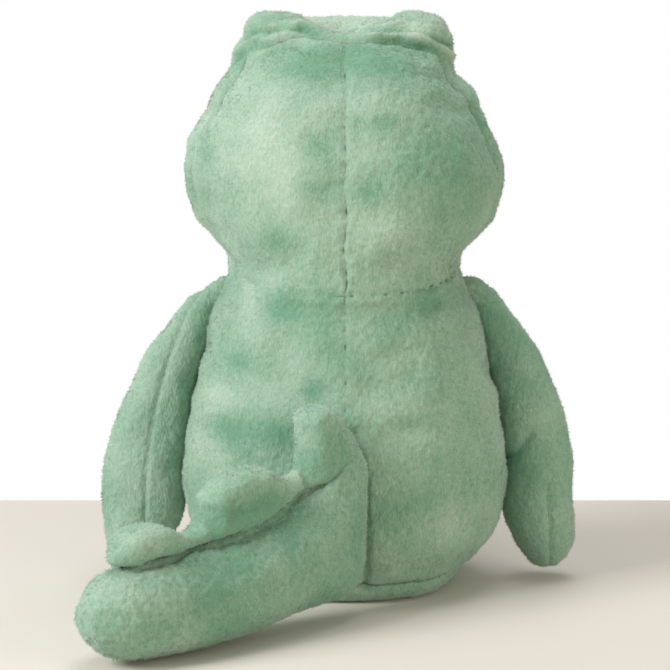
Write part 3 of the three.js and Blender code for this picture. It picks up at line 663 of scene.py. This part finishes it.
def hug(skin, form, share):
    before = points(skin)
    m = skin.modifiers.new("Shrinkwrap", "SHRINKWRAP")
    m.target = form
    m.wrap_method = "NEAREST_SURFACEPOINT"
    applyAll(skin)
    place(skin, before + (points(skin) - before) * share[:, None])


def lapOver(skin, amount):  # amount follows the rise over the neck seam
    rise = points(skin)[:, 2] - neckLevel(points(skin)[:, 1])
    place(skin, points(skin) + facing(skin) * (neck["lap"] * amount(rise))[:, None])


def drawIn(skin):  # the neck is narrower at the sides
    p = points(skin)
    reach = np.maximum(np.hypot(p[:, 0], p[:, 1]), 1)
    rise = p[:, 2] - neckLevel(p[:, 1]) - neck["waistRise"]
    pull = neck["waist"] * np.exp(-(rise / neck["waistWide"]) ** 2) * (p[:, 0] / reach) ** 2 * ease(reach, 30, 45)
    p[:, 0] -= pull * p[:, 0] / reach
    place(skin, p)


def neckBlend(cloth):
    way = Vector((0, -neck["tilt"], 1)).normalized()
    middle = Vector((0, 0, neck["height"]))
    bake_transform(cloth, "torso", "head", (middle + way * neck["bendStart"]) * mm, (middle + way * neck["bendEnd"]) * mm)


def neckTicks(sew):
    x, y, z = sew.pts.T
    run = np.arctan2(x, -y) * neck["girth"]
    beat = layered(ribbon(run, 0.41), neck["ticks"])
    reach = ease(np.hypot(x, y), 38, 46)
    reach *= 0.55 + 0.45 * ease(x, -25, 5)
    right = 0.12 * ease(x, -5, 15)  # the stitches show more on the right
    sew.seam(np.abs(z - neckLevel(y)), run, reach * np.clip(0.6 + right + 1.2 * beat, 0, 1), depth=1.0, width=1.3,
             pucker=0.5, pitch=5, seed=62, bold=1 + right)


neckForm = makeNeckForm()
print("neck form made")

body = {"voxel": 4.0, "relax": 16, "fill": 0.3, "sideSeam": 6, "seatSeam": 8.5, "seat": 3, "heel": 3, "stuffed": 0.7,
        "sideTuck": [(0, 7), (8, 5.5), (18, 4), (27, 0.8), (34, 0)], "crown": 0.3,
        "stiff": 12, "bend": 0.6, "pressure": 4, "slack": 0.03, "frames": 20, "cap": 2.0, "tone": -0.22,
        "backWave": 1.6, "seatWave": 0.6, "tailGroove": 2.4,
        # tone patches, partly painted shadow: the dark patches beside the crest lobe are painted shadow of the lobe
        "marks": [(-28, 133, 9, 7, -0.7), (-47, 110, 10, 5, -0.6), (-54, 79, 11, 7, -0.7), (-32, 80, 13, 7, -0.7),
                  (-14, 98, 5, 5, -0.6), (39, 136, 7, 5, -0.7), (27, 84, 14, 4, -0.6), (-44, 142, 5, 14, 0.7),
                  (-55, 93, 10, 8, 0.6), (-66, 73, 7, 10, 0.7), (-36, 97, 12, 8, 0.6)],
        "tailSeam": [(9, 8), (9.5, 30), (8.5, 55), (6.5, 72), (4, 80)]}


def makeBody():
    v = body
    skin = voxelSkin(copyNodes("body_skin", bodyPanels, bodyFills()), v["voxel"])
    p = points(skin)
    rim = neckLevel(p[:, 1]) + 1
    p[:, 2] = np.where(p[:, 2] > rim, rim + v["crown"] * (p[:, 2] - rim), p[:, 2])
    place(skin, p)
    relax(skin, v["relax"])
    p = points(skin) + facing(skin) * v["fill"]
    p[:, 0] -= np.sign(p[:, 0]) * ease(np.abs(p[:, 0]), 35, 60) * along(p[:, 2], v["sideTuck"])
    p[:, 1] -= v["heel"] * (1 - ease(p[:, 2], 2, 20)) * ease(-p[:, 1], 20, 45)
    p[:, 2] = np.maximum(p[:, 2] - v["seat"] * (1 - ease(p[:, 2], 4, 16)), 0.3)  # flattened by its weight
    place(skin, p)
    x, y, z = p.T
    held = (np.abs(z - v["seatSeam"]) < 3) | (z < 3) | (z > neckLevel(y) - 4)
    held |= (np.abs(y - v["sideSeam"]) < 3) | ((np.abs(x) < 2.2) & (y < 0))
    puff(skin, held, v)
    p = points(skin)
    rise = p[:, 2] - neckLevel(p[:, 1])
    hug(skin, neckForm, ease(np.hypot(p[:, 0], p[:, 1]), 40, 48) * ease(rise, -18, -8))
    lapOver(skin, lambda rise: -np.clip(rise / 3, -0.5, 1.5) * ease(rise, -8, -2))
    drawIn(skin)
    refine(skin, 2)
    sew = Sewing(skin)
    x, y, z = sew.pts.T
    wave = grain(sew.pts * [0, 0, 1], 13, 31)
    back = ease(-y, 10, 30)
    strength = np.clip(0.6 + 0.2 * ease(z, 110, 140) + 0.9 * grain(sew.pts * [0, 0, 1], 4, 33), 0, 1)
    sew.seam(np.abs(x - v["backWave"] * wave), z, back * ease(z, 78, 95) * strength, depth=0.8, width=1.2, pucker=0.8,
             seed=2)
    gap = lineGap(x, z, v["tailSeam"])[0]
    sew.push -= v["tailGroove"] * np.exp(-(gap / 2.0) ** 2) * back
    sew.nap += v["tone"]
    neckTicks(sew)
    sew.seam(np.abs(y - v["sideSeam"]), z, ease(np.abs(x), 30, 40), seed=3)
    seatGap = np.abs(z - v["seatSeam"] - v["seatWave"] * grain(sew.pts, 25, 32))
    sew.seam(seatGap, np.arctan2(x, -y) * 65, np.ones(len(x)), depth=1.8, width=1.6, pucker=0.35, pitch=5, seed=4)
    sew.brush(v["marks"])
    sew.finish(clump=0.3 + 0.3 * ease(x, -20, 40))
    keepAbove(skin, 0)
    dress(skin, bodyPanels[:5], neckBlend, seed=1, floor=0.05, thin=0.92)


makeBody()
print("body sewn")

eye = {"radius": 6.6, "dome": 4.2, "out": 20, "up": 15, "dimple": 0.8, "cover": 0.6, "collar": 1.0, "edge": 0.25,
       "patch": 16, "patchDeep": 9,
       "rings": [(0.93, 0.0), (0.88, 0.9), (0.76, 1.1), (0.55, 0.9), (0.3, 0.5)]}
eyeMat = surfaceMaterial("eyeGloss", (0.012, 0.010, 0.009), 0.12, "grained", scale=300, spread=0.35, depth=0.01)
washerMat = surfaceMaterial("washerPlastic", (0.80, 0.79, 0.74), 0.5, "grained", scale=900, spread=0.06, depth=0.2)


def eyeSpot(hand):
    node = frame["nodes"]["eye_" + hand]
    out, up = math.radians(eye["out"]), math.radians(eye["up"])
    side = sides[hand]
    way = Vector((side * math.sin(out) * math.cos(up), math.cos(out) * math.cos(up), math.sin(up)))
    top = max((node.matrix_world @ c.co for c in node.data.vertices), key=lambda c: c.dot(way))
    middle = sum((node.matrix_world @ c.co for c in node.data.vertices), Vector()) / len(node.data.vertices)
    return middle + way * (top - middle).dot(way) - way * eye["dome"] * mm, way


def seatEye(sew, hand):  # the cloth comes up to the eye's collar
    v = eye
    centre, way = eyeSpot(hand)
    offset = sew.pts - np.array(centre) / mm
    rise = offset @ np.array(way)
    gap = np.linalg.norm(np.cross(offset, np.array(way)), axis=1)
    near = (np.abs(rise) < v["patchDeep"]) & (gap < v["patch"])
    ring = near & (gap > v["radius"]) & (gap < v["radius"] + 3)
    lift = v["cover"] - rise[ring].mean()
    print("eye", hand, "cloth lifted", round(float(lift), 2))
    sew.push += near * lift * (1 - ease(gap, v["radius"] + 2, v["patch"]))
    sew.push -= near * v["dimple"] * np.exp(-((gap - v["radius"]) / 1.5) ** 2)


def makeEye(hand):  # a dome drawn up ring by ring from its collar
    v = eye
    base, way = eyeSpot(hand)
    bpy.ops.object.select_all(action="DESELECT")
    bpy.ops.mesh.primitive_cylinder_add(vertices=32, radius=v["radius"] * mm, depth=2 * v["collar"] * mm)
    dome = bpy.context.object
    for face in dome.data.polygons:
        face.select = face.normal.z > 0.9
    for edge in dome.data.edges:
        edge.select = False
    for vert in dome.data.vertices:
        vert.select = vert.co.z > 0
    bpy.ops.object.mode_set(mode="EDIT")
    bpy.ops.mesh.select_mode(type="FACE")
    size = 1.0
    for ring, rise in v["rings"]:
        bpy.ops.mesh.extrude_region_move(TRANSFORM_OT_translate={"value": (0, 0, rise * mm)})
        bpy.ops.transform.resize(value=(ring / size, ring / size, 1))
        size = ring
    bpy.ops.object.mode_set(mode="OBJECT")
    bevel = dome.modifiers.new("Bevel", "BEVEL")
    bevel.width = v["edge"] * mm
    bevel.segments = 2
    bevel.limit_method = "ANGLE"
    bevel.angle_limit = math.radians(50)
    applyAll(dome)
    refine(dome, 2)
    dome.rotation_euler = way.to_track_quat("Z", "Y").to_euler()
    dome.location = base
    bpy.ops.object.transform_apply(location=True, rotation=True, scale=True)
    bpy.ops.object.shade_smooth()
    dome.name = "eye_%s_dome" % hand
    dome.data.materials.append(eyeMat)
    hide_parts("eye_" + hand)
    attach(dome, "head")


for hand in sides:
    makeEye(hand)
    for part in frame["nodes"]["eye_washer_" + hand].material_slots:
        part.material = washerMat
print("eyes set")

head = {"voxel": 4.0, "relax": 10, "fill": -0.3, "stuffed": 0.75, "hold": 2.2,
        "rolls": [((-17, 17, 254), (14, 12, 15)), ((17, 17, 254), (14, 12, 14)), ((-20, -6, 256), (14, 11, 10)),
                  ((20, -6, 255), (14, 11, 10)), ((-8, -12, 255), (9, 8, 5)), ((8, -12, 254), (9, 8, 5)),
                  ((-37, 2, 256), (12.5, 14, 13)), ((41, 2, 255), (12, 14, 13))],
        "leftSwell": [(160, -1), (167, -1.2), (174, 1.4), (188, 0.6), (202, -0.8), (209, 0.2), (216, -2.6),
                      (223, -4.6), (230, -2.4), (238, 0.6), (241, 1.6), (245, 2.8), (250, 1.2), (257, -1.8),
                      (264, 0.2)],
        "rightSwell": [(160, -2), (167, -1), (174, 1.0), (188, 0.6), (196, -1), (204, -3), (216, -4.4), (223, -5),
                       (230, -1.2), (237, -4.6), (244, 0.4), (250, -1.6), (257, -2.4), (264, -2.6)],
        # tone patches, partly painted shade: the broad dark patch on the head's right side is painted shade
        "marks": [(-20, 245, 25, 9, -1.1), (21, 242, 14, 10, -1.0), (10, 250, 14, 6, -0.7), (-12, 206, 8, 9, -0.7),
                  (16, 217, 10, 4, -0.7), (11, 186, 7, 7, -0.8), (-12, 188, 11, 7, -0.5), (-31, 165, 7, 6, -0.9),
                  (-63, 205, 5, 9, -0.5), (-34, 221, 16, 22, 0.6), (-28, 193, 14, 14, 0.4), (52, 200, 20, 40, -0.6),
                  (26, 262, 18, 5, 0.5)],
        "stiff": 12, "bend": 0.6, "pressure": 4, "slack": 0.05, "frames": 20, "cap": 2.6,
        "backWave": 1.5, "browFolds": 4.4, "foldShade": 1.6, "foldGroove": 1.8,
        "faceSeam": [(150, -5), (175, -9), (192, -14), (215, -16), (232, -15), (245, -12), (256, -10)],
        "browSeam": [(-47, 250), (-33, 253), (-20, 257), (-8, 255), (0, 253), (10, 253.5), (25, 253), (47, 249.5)],
        "browFold": [(-19, 267), (-11, 262), (-4, 257), (0, 254.5), (6, 258), (14, 263), (22, 266)],
        "browSlope": 0.25, "mouthRise": 187, "mouthSlope": 0.12}


def headSeams(x, y, z):  # where the face, brow and mouth seams lie
    v = head
    browZ = along(x, v["browSeam"]) - v["browSlope"] * (y + 15)
    return along(z, v["faceSeam"]), browZ, v["mouthRise"] - v["mouthSlope"] * y


def makeHead():
    v = head
    rolls = [addBall(middle, radii) for middle, radii in v["rolls"]]
    skin = voxelSkin(copyNodes("head_skin", headPanels, [neckPlug(), *rolls]), v["voxel"])
    p = points(skin)
    under = p[:, 2] < neckLevel(p[:, 1]) + 2.5
    hem = neck["sideHem"] * ease(np.abs(p[:, 0]), 34, 44)  # shallow over the shoulders
    p[:, 2] -= under * (neck["skirt"] - hem)
    p[:, :2] *= np.where(under, 0.97, 1)[:, None]
    place(skin, p)
    relax(skin, v["relax"])
    out = facing(skin)
    p = points(skin) + out * v["fill"]
    swell = np.where(p[:, 0] < 0, along(p[:, 2], v["leftSwell"]), along(p[:, 2], v["rightSwell"]))
    p[:, 0] += out[:, 0] * swell * ease(np.abs(p[:, 0]), 15, 30)
    place(skin, p)
    x, y, z = p.T
    seamY, browZ, mouthZ = headSeams(x, y, z)
    held = (np.abs(y - seamY) < v["hold"]) & (z < browZ + 2)
    held |= np.abs(z - browZ) < v["hold"]
    held |= (np.abs(x) < v["hold"]) & (y < 0)
    held |= (np.abs(z - mouthZ) < v["hold"]) & (y > 20)
    held |= z < neckLevel(y) + 3
    puff(skin, held, v)
    p = points(skin)
    rise = p[:, 2] - neckLevel(p[:, 1])
    hug(skin, neckForm, ease(np.hypot(p[:, 0], p[:, 1]), 40, 48) * ease(-rise, -14, -6))
    lapOver(skin, lambda rise: np.clip(rise / 3, -2, 0.5) * ease(-rise, -8, -2))
    drawIn(skin)
    refine(skin, 2)
    sew = Sewing(skin)
    x, y, z = sew.pts.T
    seamY, browZ, mouthZ = headSeams(x, y, z)
    wave = grain(sew.pts * [0, 0, 1], 14, 41)
    below = ease(browZ - z, 0, 4)
    back = ease(-y, 8, 25)
    strength = np.clip(0.78 + 0.12 * ease(-z, -180, -165) + 0.5 * grain(sew.pts * [0, 0, 1], 4, 43), 0, 1)
    sew.seam(np.abs(x - v["backWave"] * wave), z, back * below * strength, depth=1.0, width=1.2, pucker=0.8, pitch=5,
             seed=5)
    sew.seam(np.abs(y - seamY), z, below * ease(np.abs(x), 32, 40), depth=1.8, width=1.8, seed=6, bold=1.6)
    sew.push += 1.0 * ease(y - seamY, 0, 6) * (1 - ease(y - seamY, 12, 30)) * below * ease(np.abs(x), 38, 48)
    bite = 0.85 - 0.6 * ease(np.abs(x), 34, 44) - 0.25 * ease(-x, 38, 45)
    sew.seam(np.abs(z - browZ), x, bite, depth=2.2, width=1.8, pucker=0.9, pitch=6, seed=7)
    neckTicks(sew)
    sew.seam(np.abs(z - mouthZ), y, ease(y, 30, 55), depth=2.0, width=2.0, pucker=0.3, seed=8)
    folds = grain(np.stack([x / 15, y / 30, (z - browZ) / 3.8], axis=1), 1, 42)
    folds *= np.exp(-((z - browZ - 4) / 7) ** 2) * ease(np.abs(x), 6, 16) * ease(-y, -10, 5)
    sew.push += v["browFolds"] * folds
    # painted shade in the brow folds and painted highlight on their ridges
    sew.nap += v["foldShade"] * folds
    gap = lineGap(x, z, v["browFold"])[0]
    sew.push -= v["foldGroove"] * np.exp(-(gap / 1.8) ** 2) * ease(y, -16, -6) * (1 - ease(y, 20, 26)) * (z > browZ)
    for hand in sides:
        seatEye(sew, hand)
    sew.brush(v["marks"])
    # painted highlight along the top of the forehead
    sew.nap += 0.8 * ease(z, 256, 262) * ease(y, 4, 14)
    sew.finish(clump=0.28 + 0.2 * ease(x, -20, 40))
    dress(skin, headPanels, lambda cloth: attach(cloth, "head"), seed=2)


makeHead()
bpy.data.objects.remove(neckForm)
print("head sewn")

arm = {"voxel": 3.2, "relax": 7, "fill": 0.4, "stiff": 14, "bend": 1.0, "pressure": 4, "slack": 0.015, "frames": 20,
       "cap": 1.2, "stuffed": 0.6, "leftTone": -0.05, "rightTone": -0.4, "pivot": (58.951, 5), "bendSpan": (150, 126),
       "leftInside": [(22, 0), (36, 1.5), (55, 2.2), (75, 3)],
       "rightInside": [(20, 0), (32, 2.5), (55, 3.2), (75, 3)],
       "leftSeam": [(-62, 146), (-74, 130), (-83, 106), (-90, 80), (-93.5, 55), (-94.5, 31), (-95, 2)],
       "rightSeam": [(94.5, 48), (96.5, 36), (98, 10), (98.5, 2)],
       "elbow": [(73, 57), (80, 61), (87, 70)], "elbowDeep": 1.6,
       "leftSwell": [(28, 0), (40, 2.2), (55, 2.6), (70, 4), (85, 4.6), (115, 4.4), (128, 4.8), (134, 4.4),
                     (139, 1.4), (145, -6), (148, -8)],
       "rightSwell": [(40, 0), (55, 1.6), (68, 2.8), (78, 3.8), (90, 4), (109, 4), (116, 4.2), (123, 5), (137, 5.4),
                      (148, 6)]}


def makeArm(hand):
    v = arm
    side = sides[hand]
    panels = ["arm_%s_%s" % (hand, part) for part in ("outer", "inner", "stuffing")]
    skin = voxelSkin(copyNodes("arm_%s_skin" % hand, panels), v["voxel"])
    relax(skin, v["relax"])
    out = facing(skin)
    p = points(skin) + out * v["fill"]
    p[:, 0] += side * np.clip(side * out[:, 0], 0, 1) * along(p[:, 2], v[hand + "Swell"])
    p[:, 0] -= side * np.clip(-side * out[:, 0], 0, 1) * along(p[:, 2], v[hand + "Inside"])
    place(skin, p)
    x, y, z = p.T
    gap = lineGap(x, z, v[hand + "Seam"])[0]
    puff(skin, (gap < 2) | (z > 134), v)
    refine(skin, 2)
    sew = Sewing(skin)
    x, y, z = sew.pts.T
    gap, run = lineGap(x, z, v[hand + "Seam"])
    sew.seam(gap, run, 0.75 * ease(run, 0, 10) * ease(z, -2, 12), depth=1.1, width=1.3, pucker=0.25, seed=9)
    if hand == "right":
        gap = lineGap(x, z, v["elbow"])[0]
        sew.push -= v["elbowDeep"] * np.exp(-(gap / 2.6) ** 2) * (y < 5)
    # painted shade: the right arm is painted darker, the left one barely
    sew.nap += v[hand + "Tone"]
    sew.finish(clump=0.22)
    px, py = v["pivot"]
    start, end = [(side * px * mm, py * mm, level * mm) for level in v["bendSpan"]]
    dress(skin, panels, lambda cloth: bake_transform(cloth, "torso", "arm_" + hand, start, end),
          seed=3, floor=0.3)


for hand in sides:
    makeArm(hand)
print("arms sewn")

leg = {"voxel": 4.0, "relax": 8, "fill": 0.4, "stiff": 14, "bend": 1.0, "pressure": 4, "slack": 0.02, "frames": 20,
       "cap": 1.5, "stuffed": 0.6, "hip": (34, 70), "splay": 0.07, "sole": (40, 22, 24),
       "bendStart": (34, 56, 22), "bendEnd": (35, 82, 22)}


def makeLeg(hand):
    v = leg
    side = sides[hand]
    panels = ["leg_%s_%s" % (hand, part) for part in ("outer", "inner", "sole", "stuffing")]
    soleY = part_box("leg_%s_sole" % hand)[0].y / mm
    skin = voxelSkin(copyNodes("leg_%s_skin" % hand, panels), v["voxel"])
    relax(skin, v["relax"])
    p = points(skin) + facing(skin) * v["fill"]
    p[:, 2] = np.maximum(p[:, 2], 0.6)
    place(skin, p)
    x, y, z = p.T
    held = (np.abs(y - soleY) < 2.5) | (y < 68) | (z < 2)
    puff(skin, held, v)
    refine(skin, 2)
    sew = Sewing(skin)
    x, y, z = sew.pts.T
    soleX, soleZ, soleRadius = v["sole"]
    around = np.arctan2(z - soleZ, x - side * soleX) * soleRadius
    sew.seam(np.abs(y - soleY), around, np.ones(len(x)), depth=1.4, width=1.8, seed=10)
    middle = side * (v["hip"][0] + (y - v["hip"][1]) * v["splay"])
    sew.seam(np.abs(x - middle), y, ease(soleY - y, 0, 4), depth=1.0, width=1.8, seed=11)
    sew.finish()
    keepAbove(skin, 0.2)
    start, end = [(side * px * mm, py * mm, pz * mm) for px, py, pz in (v["bendStart"], v["bendEnd"])]
    dress(skin, panels, lambda cloth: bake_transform(cloth, "torso", "leg_" + hand, start, end),
          seed=4, floor=0.2)


for hand in sides:
    makeLeg(hand)
print("legs sewn")

tail = {"voxel": 4.0, "relax": 8, "fill": 0.4, "stiff": 14, "bend": 1.0, "pressure": 4, "slack": 0.02, "frames": 20,
        "cap": 1.5, "stuffed": 0.65, "tone": [(0, -0.55), (90, -0.5), (135, -0.05)], "creaseOut": 6.3,
        "root": (0, -76), "turn": 47, "rootRise": 10, "rootBulge": 3, "rootDrop": 2.5,
        "sewnOn": [(8, 13), (14, 9), (30, 5), (50, 3), (80, 2)], "bendBack": 8, "bendOn": 16, "bendHigh": 40}
tailWay = np.array([-math.sin(math.radians(tail["turn"])), -math.cos(math.radians(tail["turn"]))])
tailSide = np.array([tailWay[1], -tailWay[0]])


def tailPlace(p):
    flat = p[:, :2] - np.array(tail["root"])
    return flat @ tailWay, flat @ tailSide


def tailBlend(cloth):
    v = tail
    start = Vector((*(np.array(v["root"]) - v["bendBack"] * tailWay), v["bendHigh"])) * mm
    end = Vector((*(np.array(v["root"]) + v["bendOn"] * tailWay), v["bendHigh"])) * mm
    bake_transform(cloth, "torso", "tail", start, end)


def heightAlong(t, z, step, reach, pick, blank):  # the top or the foot of a piece all along the tail
    steps = np.arange(t.min(), t.max() + step, step)
    return np.interp(t, steps, [pick(z[np.abs(t - at) < reach], initial=blank) for at in steps])


crest = {"voxel": 2.0, "relax": 4, "fill": 0.5, "stiff": 10, "bend": 0.5, "pressure": 5, "slack": 0.03, "frames": 20,
         "cap": 1.5, "stuffed": 0.55, "valleys": [30, 90, 132], "pinch": 0.6, "plump": 1.15, "spread": 14,
         "dip": 0.67, "rise": 0.87, "slope": 7, "lean": 0.3, "settle": 4, "ridge": 1.3, "hollow": 1.8,
         "skew": [(-10, 7), (10, 6), (28, -1), (33, 8), (58, 6), (86, -4), (93, 6), (112, 5), (132, -1)],
         "lift": [(-10, 4), (26, 4), (32, 0), (40, -1), (80, -1), (95, -2), (130, -2)],
         "shade": [(-10, 0.8), (25, 0.8), (35, 1.5), (85, 1.5), (95, 1.2), (130, 1.2)]}


def crestWide(t):  # the crest is narrow in its valleys and plump in its lobes
    free = ease(np.min([np.abs(t - valley) for valley in crest["valleys"]], axis=0), 0, crest["spread"])
    return crest["pinch"] + (crest["plump"] - crest["pinch"]) * free, free


def makeTail():
    v = tail
    panels = ["tail_left", "tail_right", "tail_stuffing"]
    skin = voxelSkin(copyNodes("tail_skin", panels), v["voxel"])
    relax(skin, v["relax"])
    p = points(skin) + facing(skin) * v["fill"]
    rootY = v["root"][1]
    p[:, 1] += ease(p[:, 1], rootY + 1, rootY + 9) * along(p[:, 2], v["sewnOn"])  # the root is drawn to the body
    t, s = tailPlace(p)
    near = (1 - ease(t, 0, 28)) * ease(p[:, 2], 34, 60)  # the root swells round the end of the crest
    foot = (1 - ease(t, 0, 44)) * (1 - ease(p[:, 2], 14, 40))
    p[:, :2] += (np.sign(s) * ease(np.abs(s), 2, 7) * v["rootBulge"] * (near + foot))[:, None] * tailSide
    p[:, 2] += v["rootRise"] * near - v["rootDrop"] * foot
    p[:, 2] = np.maximum(p[:, 2], 0.6)
    place(skin, p)
    t, s = tailPlace(p)
    held = (t < 0) | (p[:, 2] < 2) | ((np.abs(s) < 2) & (p[:, 2] > 30))
    puff(skin, held, v)
    refine(skin, 2)
    sew = Sewing(skin)
    t, s = tailPlace(sew.pts)
    # painted shade: the tail is painted darker from its root to past its middle, less so at the tip
    sew.nap += along(t, v["tone"])
    z = sew.pts[:, 2]
    upper = 1 - ease(heightAlong(t, z, 3, 3, np.max, 0) - z, 8, 14)
    crease = np.abs(np.abs(s) - v["creaseOut"] * crestWide(t)[0])
    strength = 0.75 * upper * ease(t, 4, 16) * (1 - ease(t, 118, 128))
    # the crease beside the crest is pressed in and darkened along its line with painted shade
    sew.seam(crease, t, strength, depth=2.0, width=2.2, pucker=0.3, seed=15)
    sew.finish(clump=0.7)
    keepAbove(skin, 0.2)
    dress(skin, panels, tailBlend, seed=5, floor=0.2)


makeTail()
print("tail sewn")


def makeCrest():
    v = crest
    panels = ["crest_left", "crest_right", "crest_stuffing"]
    skin = voxelSkin(copyNodes("crest_skin", panels), v["voxel"])
    relax(skin, v["relax"])
    p = points(skin) + facing(skin) * v["fill"]
    t, s = tailPlace(p)
    seats = heightAlong(t, p[:, 2], 2, 2.5, np.min, 999)
    wide, free = crestWide(t)
    p[:, :2] += (s * (wide - 1))[:, None] * tailSide
    p[:, 2] = seats + (p[:, 2] - seats) * (v["dip"] + (v["rise"] - v["dip"]) * free)
    p[:, 2] -= v["slope"] * ease(9 - t, 0, 16) * ease(p[:, 2] - seats, 8, 24)
    high = p[:, 2] - seats
    shift = v["lean"] * np.clip(high - 14, 0, 30) + ease(high, 0, 16) * along(t, v["skew"])
    p[:, :2] += shift[:, None] * tailWay
    p[:, 2] += ease(high, 3, 26) * along(t, v["lift"])
    place(skin, p)
    relax(skin, v["settle"])
    puff(skin, points(skin)[:, 2] < seats + 6, v)
    refine(skin, 1)
    sew = Sewing(skin)
    t, s = tailPlace(sew.pts)
    z = sew.pts[:, 2]
    drop = heightAlong(t, z, 2, 2.5, np.max, 0) - z
    sew.push += v["ridge"] * np.exp(-((drop - 4) / 3.5) ** 2)
    sew.push -= v["hollow"] * np.exp(-((drop - 13) / 5) ** 2) * np.exp(-((t - 62) / 22) ** 2)
    # painted shade: the crest is darker lower down its sides
    sew.nap -= 0.1 + ease(drop, 2, 22) * along(t, v["shade"])
    sew.seam(np.abs(s), t, 0.35 * ease(drop, -1, 0) * (drop < 4), depth=0.8, width=1.2, pucker=0.4, seed=13)
    # the crest's foot is pressed in where it meets the tail and darkened with painted shade
    tuck = np.maximum(z - heightAlong(t, z, 2, 2.5, np.min, 999) - 0.5, 0)
    sew.seam(tuck, t, 0.8 + 0 * t, depth=1.8, width=2.6, pucker=0.3, seed=14)
    sew.finish(clump=0.34)
    dress(skin, panels, tailBlend, seed=6)


makeCrest()
print("crest sewn")

nostril = {"voxel": 0.7, "relax": 6, "fill": 0.3, "pitch": 0.9, "ridge": 0.12}
threadMat = surfaceMaterial("nostrilThread", (0.08, 0.15, 0.10), 0.6, "grained", scale=1500, spread=0.3, depth=0.4)


def makeNostril(hand):
    v = nostril
    node = "nostril_" + hand
    skin = voxelSkin(copyNodes(node + "_stitches", [node]), v["voxel"])
    relax(skin, v["relax"])
    refine(skin, 1)
    p = points(skin)
    ridge = v["ridge"] * np.cos(p[:, 0] / v["pitch"] * 2 * math.pi)
    place(skin, p + facing(skin) * (v["fill"] + ridge)[:, None])
    smoothShaded(skin)
    skin.data.materials.append(threadMat)
    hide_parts(node)
    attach(skin, "head")


for hand in sides:
    makeNostril(hand)
print("nostrils stitched")

pouch = {"voxel": 4.0, "relax": 6, "stiff": 8, "bend": 0.3, "pressure": 4, "slack": 0.02, "frames": 20, "cap": 1.0,
         "stuffed": 0.5}
linerMat = surfaceMaterial("pouchCloth", (0.69, 0.66, 0.56), 0.9, "woven", scale=390, spread=0.1, depth=0.5)


def makePouch():
    v = pouch
    skin = voxelSkin(copyNodes("pouch_skin", ["pellet_pouch"]), v["voxel"])
    relax(skin, v["relax"])
    puff(skin, points(skin)[:, 2] < 6, v)
    refine(skin, 1)
    smoothShaded(skin)
    skin.data.materials.append(linerMat)
    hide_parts("pellet_pouch")
    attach(skin, "torso")


makePouch()
print("pouch made")

room = {"floorBack": 205, "floorFront": -1600, "floorHalf": 2000, "floorDrop": 0.2, "aim": (0, 0, 130), "glow": 0.31}
floorMat = surfaceMaterial("paleFloor", (0.76, 0.71, 0.64), 0.7, "grained", scale=9, spread=0.015, depth=0)
bpy.ops.object.select_all(action="DESELECT")
bpy.ops.mesh.primitive_plane_add(size=1)
floor = bpy.context.object
floor.name = "floor"
floor.scale = (2 * room["floorHalf"] * mm, (room["floorBack"] - room["floorFront"]) * mm, 1)
floor.location = (0, (room["floorBack"] + room["floorFront"]) / 2 * mm, -room["floorDrop"] * mm)
bpy.ops.object.transform_apply(location=True, rotation=True, scale=True)
floor.data.materials.append(floorMat)

for tuft in list(tufts.objects):
    bpy.data.objects.remove(tuft)
bpy.data.collections.remove(tufts)
bpy.data.node_groups.remove(pileNodes)

lights = {"key": ((-1.35, -0.8, 1.0), 0.8, 27, (1, 1, 1)), "fill": ((1.3, -1.1, 0.4), 1.0, 10, (1, 0.86, 0.70)),
          "top": ((0.1, 0.2, 1.6), 0.8, 8, (1, 1, 1))}
for name, (spot, size, power, tint) in lights.items():
    bpy.ops.object.light_add(type="AREA", location=spot)
    lamp = bpy.context.object
    lamp.name = name + "Light"
    lamp.data.size = size
    lamp.data.energy = power
    lamp.data.color = tint
    lamp.rotation_euler = (Vector(room["aim"]) * mm - Vector(spot)).to_track_quat("-Z", "Y").to_euler()

world = bpy.data.worlds.new("backdrop")
scene.world = world
world.use_nodes = True
sky = world.node_tree
ground = sky.nodes["Background"]
ground.inputs["Color"].default_value = (1, 1, 1, 1)
ground.inputs["Strength"].default_value = room["glow"]
white = makeNode(sky, "ShaderNodeBackground", Color=(1, 1, 1, 1), Strength=1)
rays = makeNode(sky, "ShaderNodeLightPath")
seen = rays.outputs["Is Camera Ray"]
for ray in ("Is Glossy Ray", "Is Transmission Ray"):  # the backdrop is white wherever it is seen
    either = makeNode(sky, "ShaderNodeMath", operation="MAXIMUM")
    sky.links.new(seen, either.inputs[0])
    sky.links.new(rays.outputs[ray], either.inputs[1])
    seen = either.outputs[0]
pick = makeNode(sky, "ShaderNodeMixShader")
sky.links.new(seen, pick.inputs[0])
sky.links.new(ground.outputs[0], pick.inputs[1])
sky.links.new(white.outputs[0], pick.inputs[2])
sky.links.new(pick.outputs[0], sky.nodes["World Output"].inputs["Surface"])

view = {"spot": (-0.0045, -1.0, 0.222), "down": 6, "focal": 2125, "picture": 670, "sensor": 36}
bpy.ops.object.camera_add(location=view["spot"], rotation=(math.radians(90 - view["down"]), 0, 0))
camera = bpy.context.object
camera.data.sensor_width = view["sensor"]
camera.data.lens = view["focal"] / view["picture"] * view["sensor"]
camera.data.dof.use_dof = False
scene.camera = camera
scene.view_settings.view_transform = "Standard"
print("stage set")
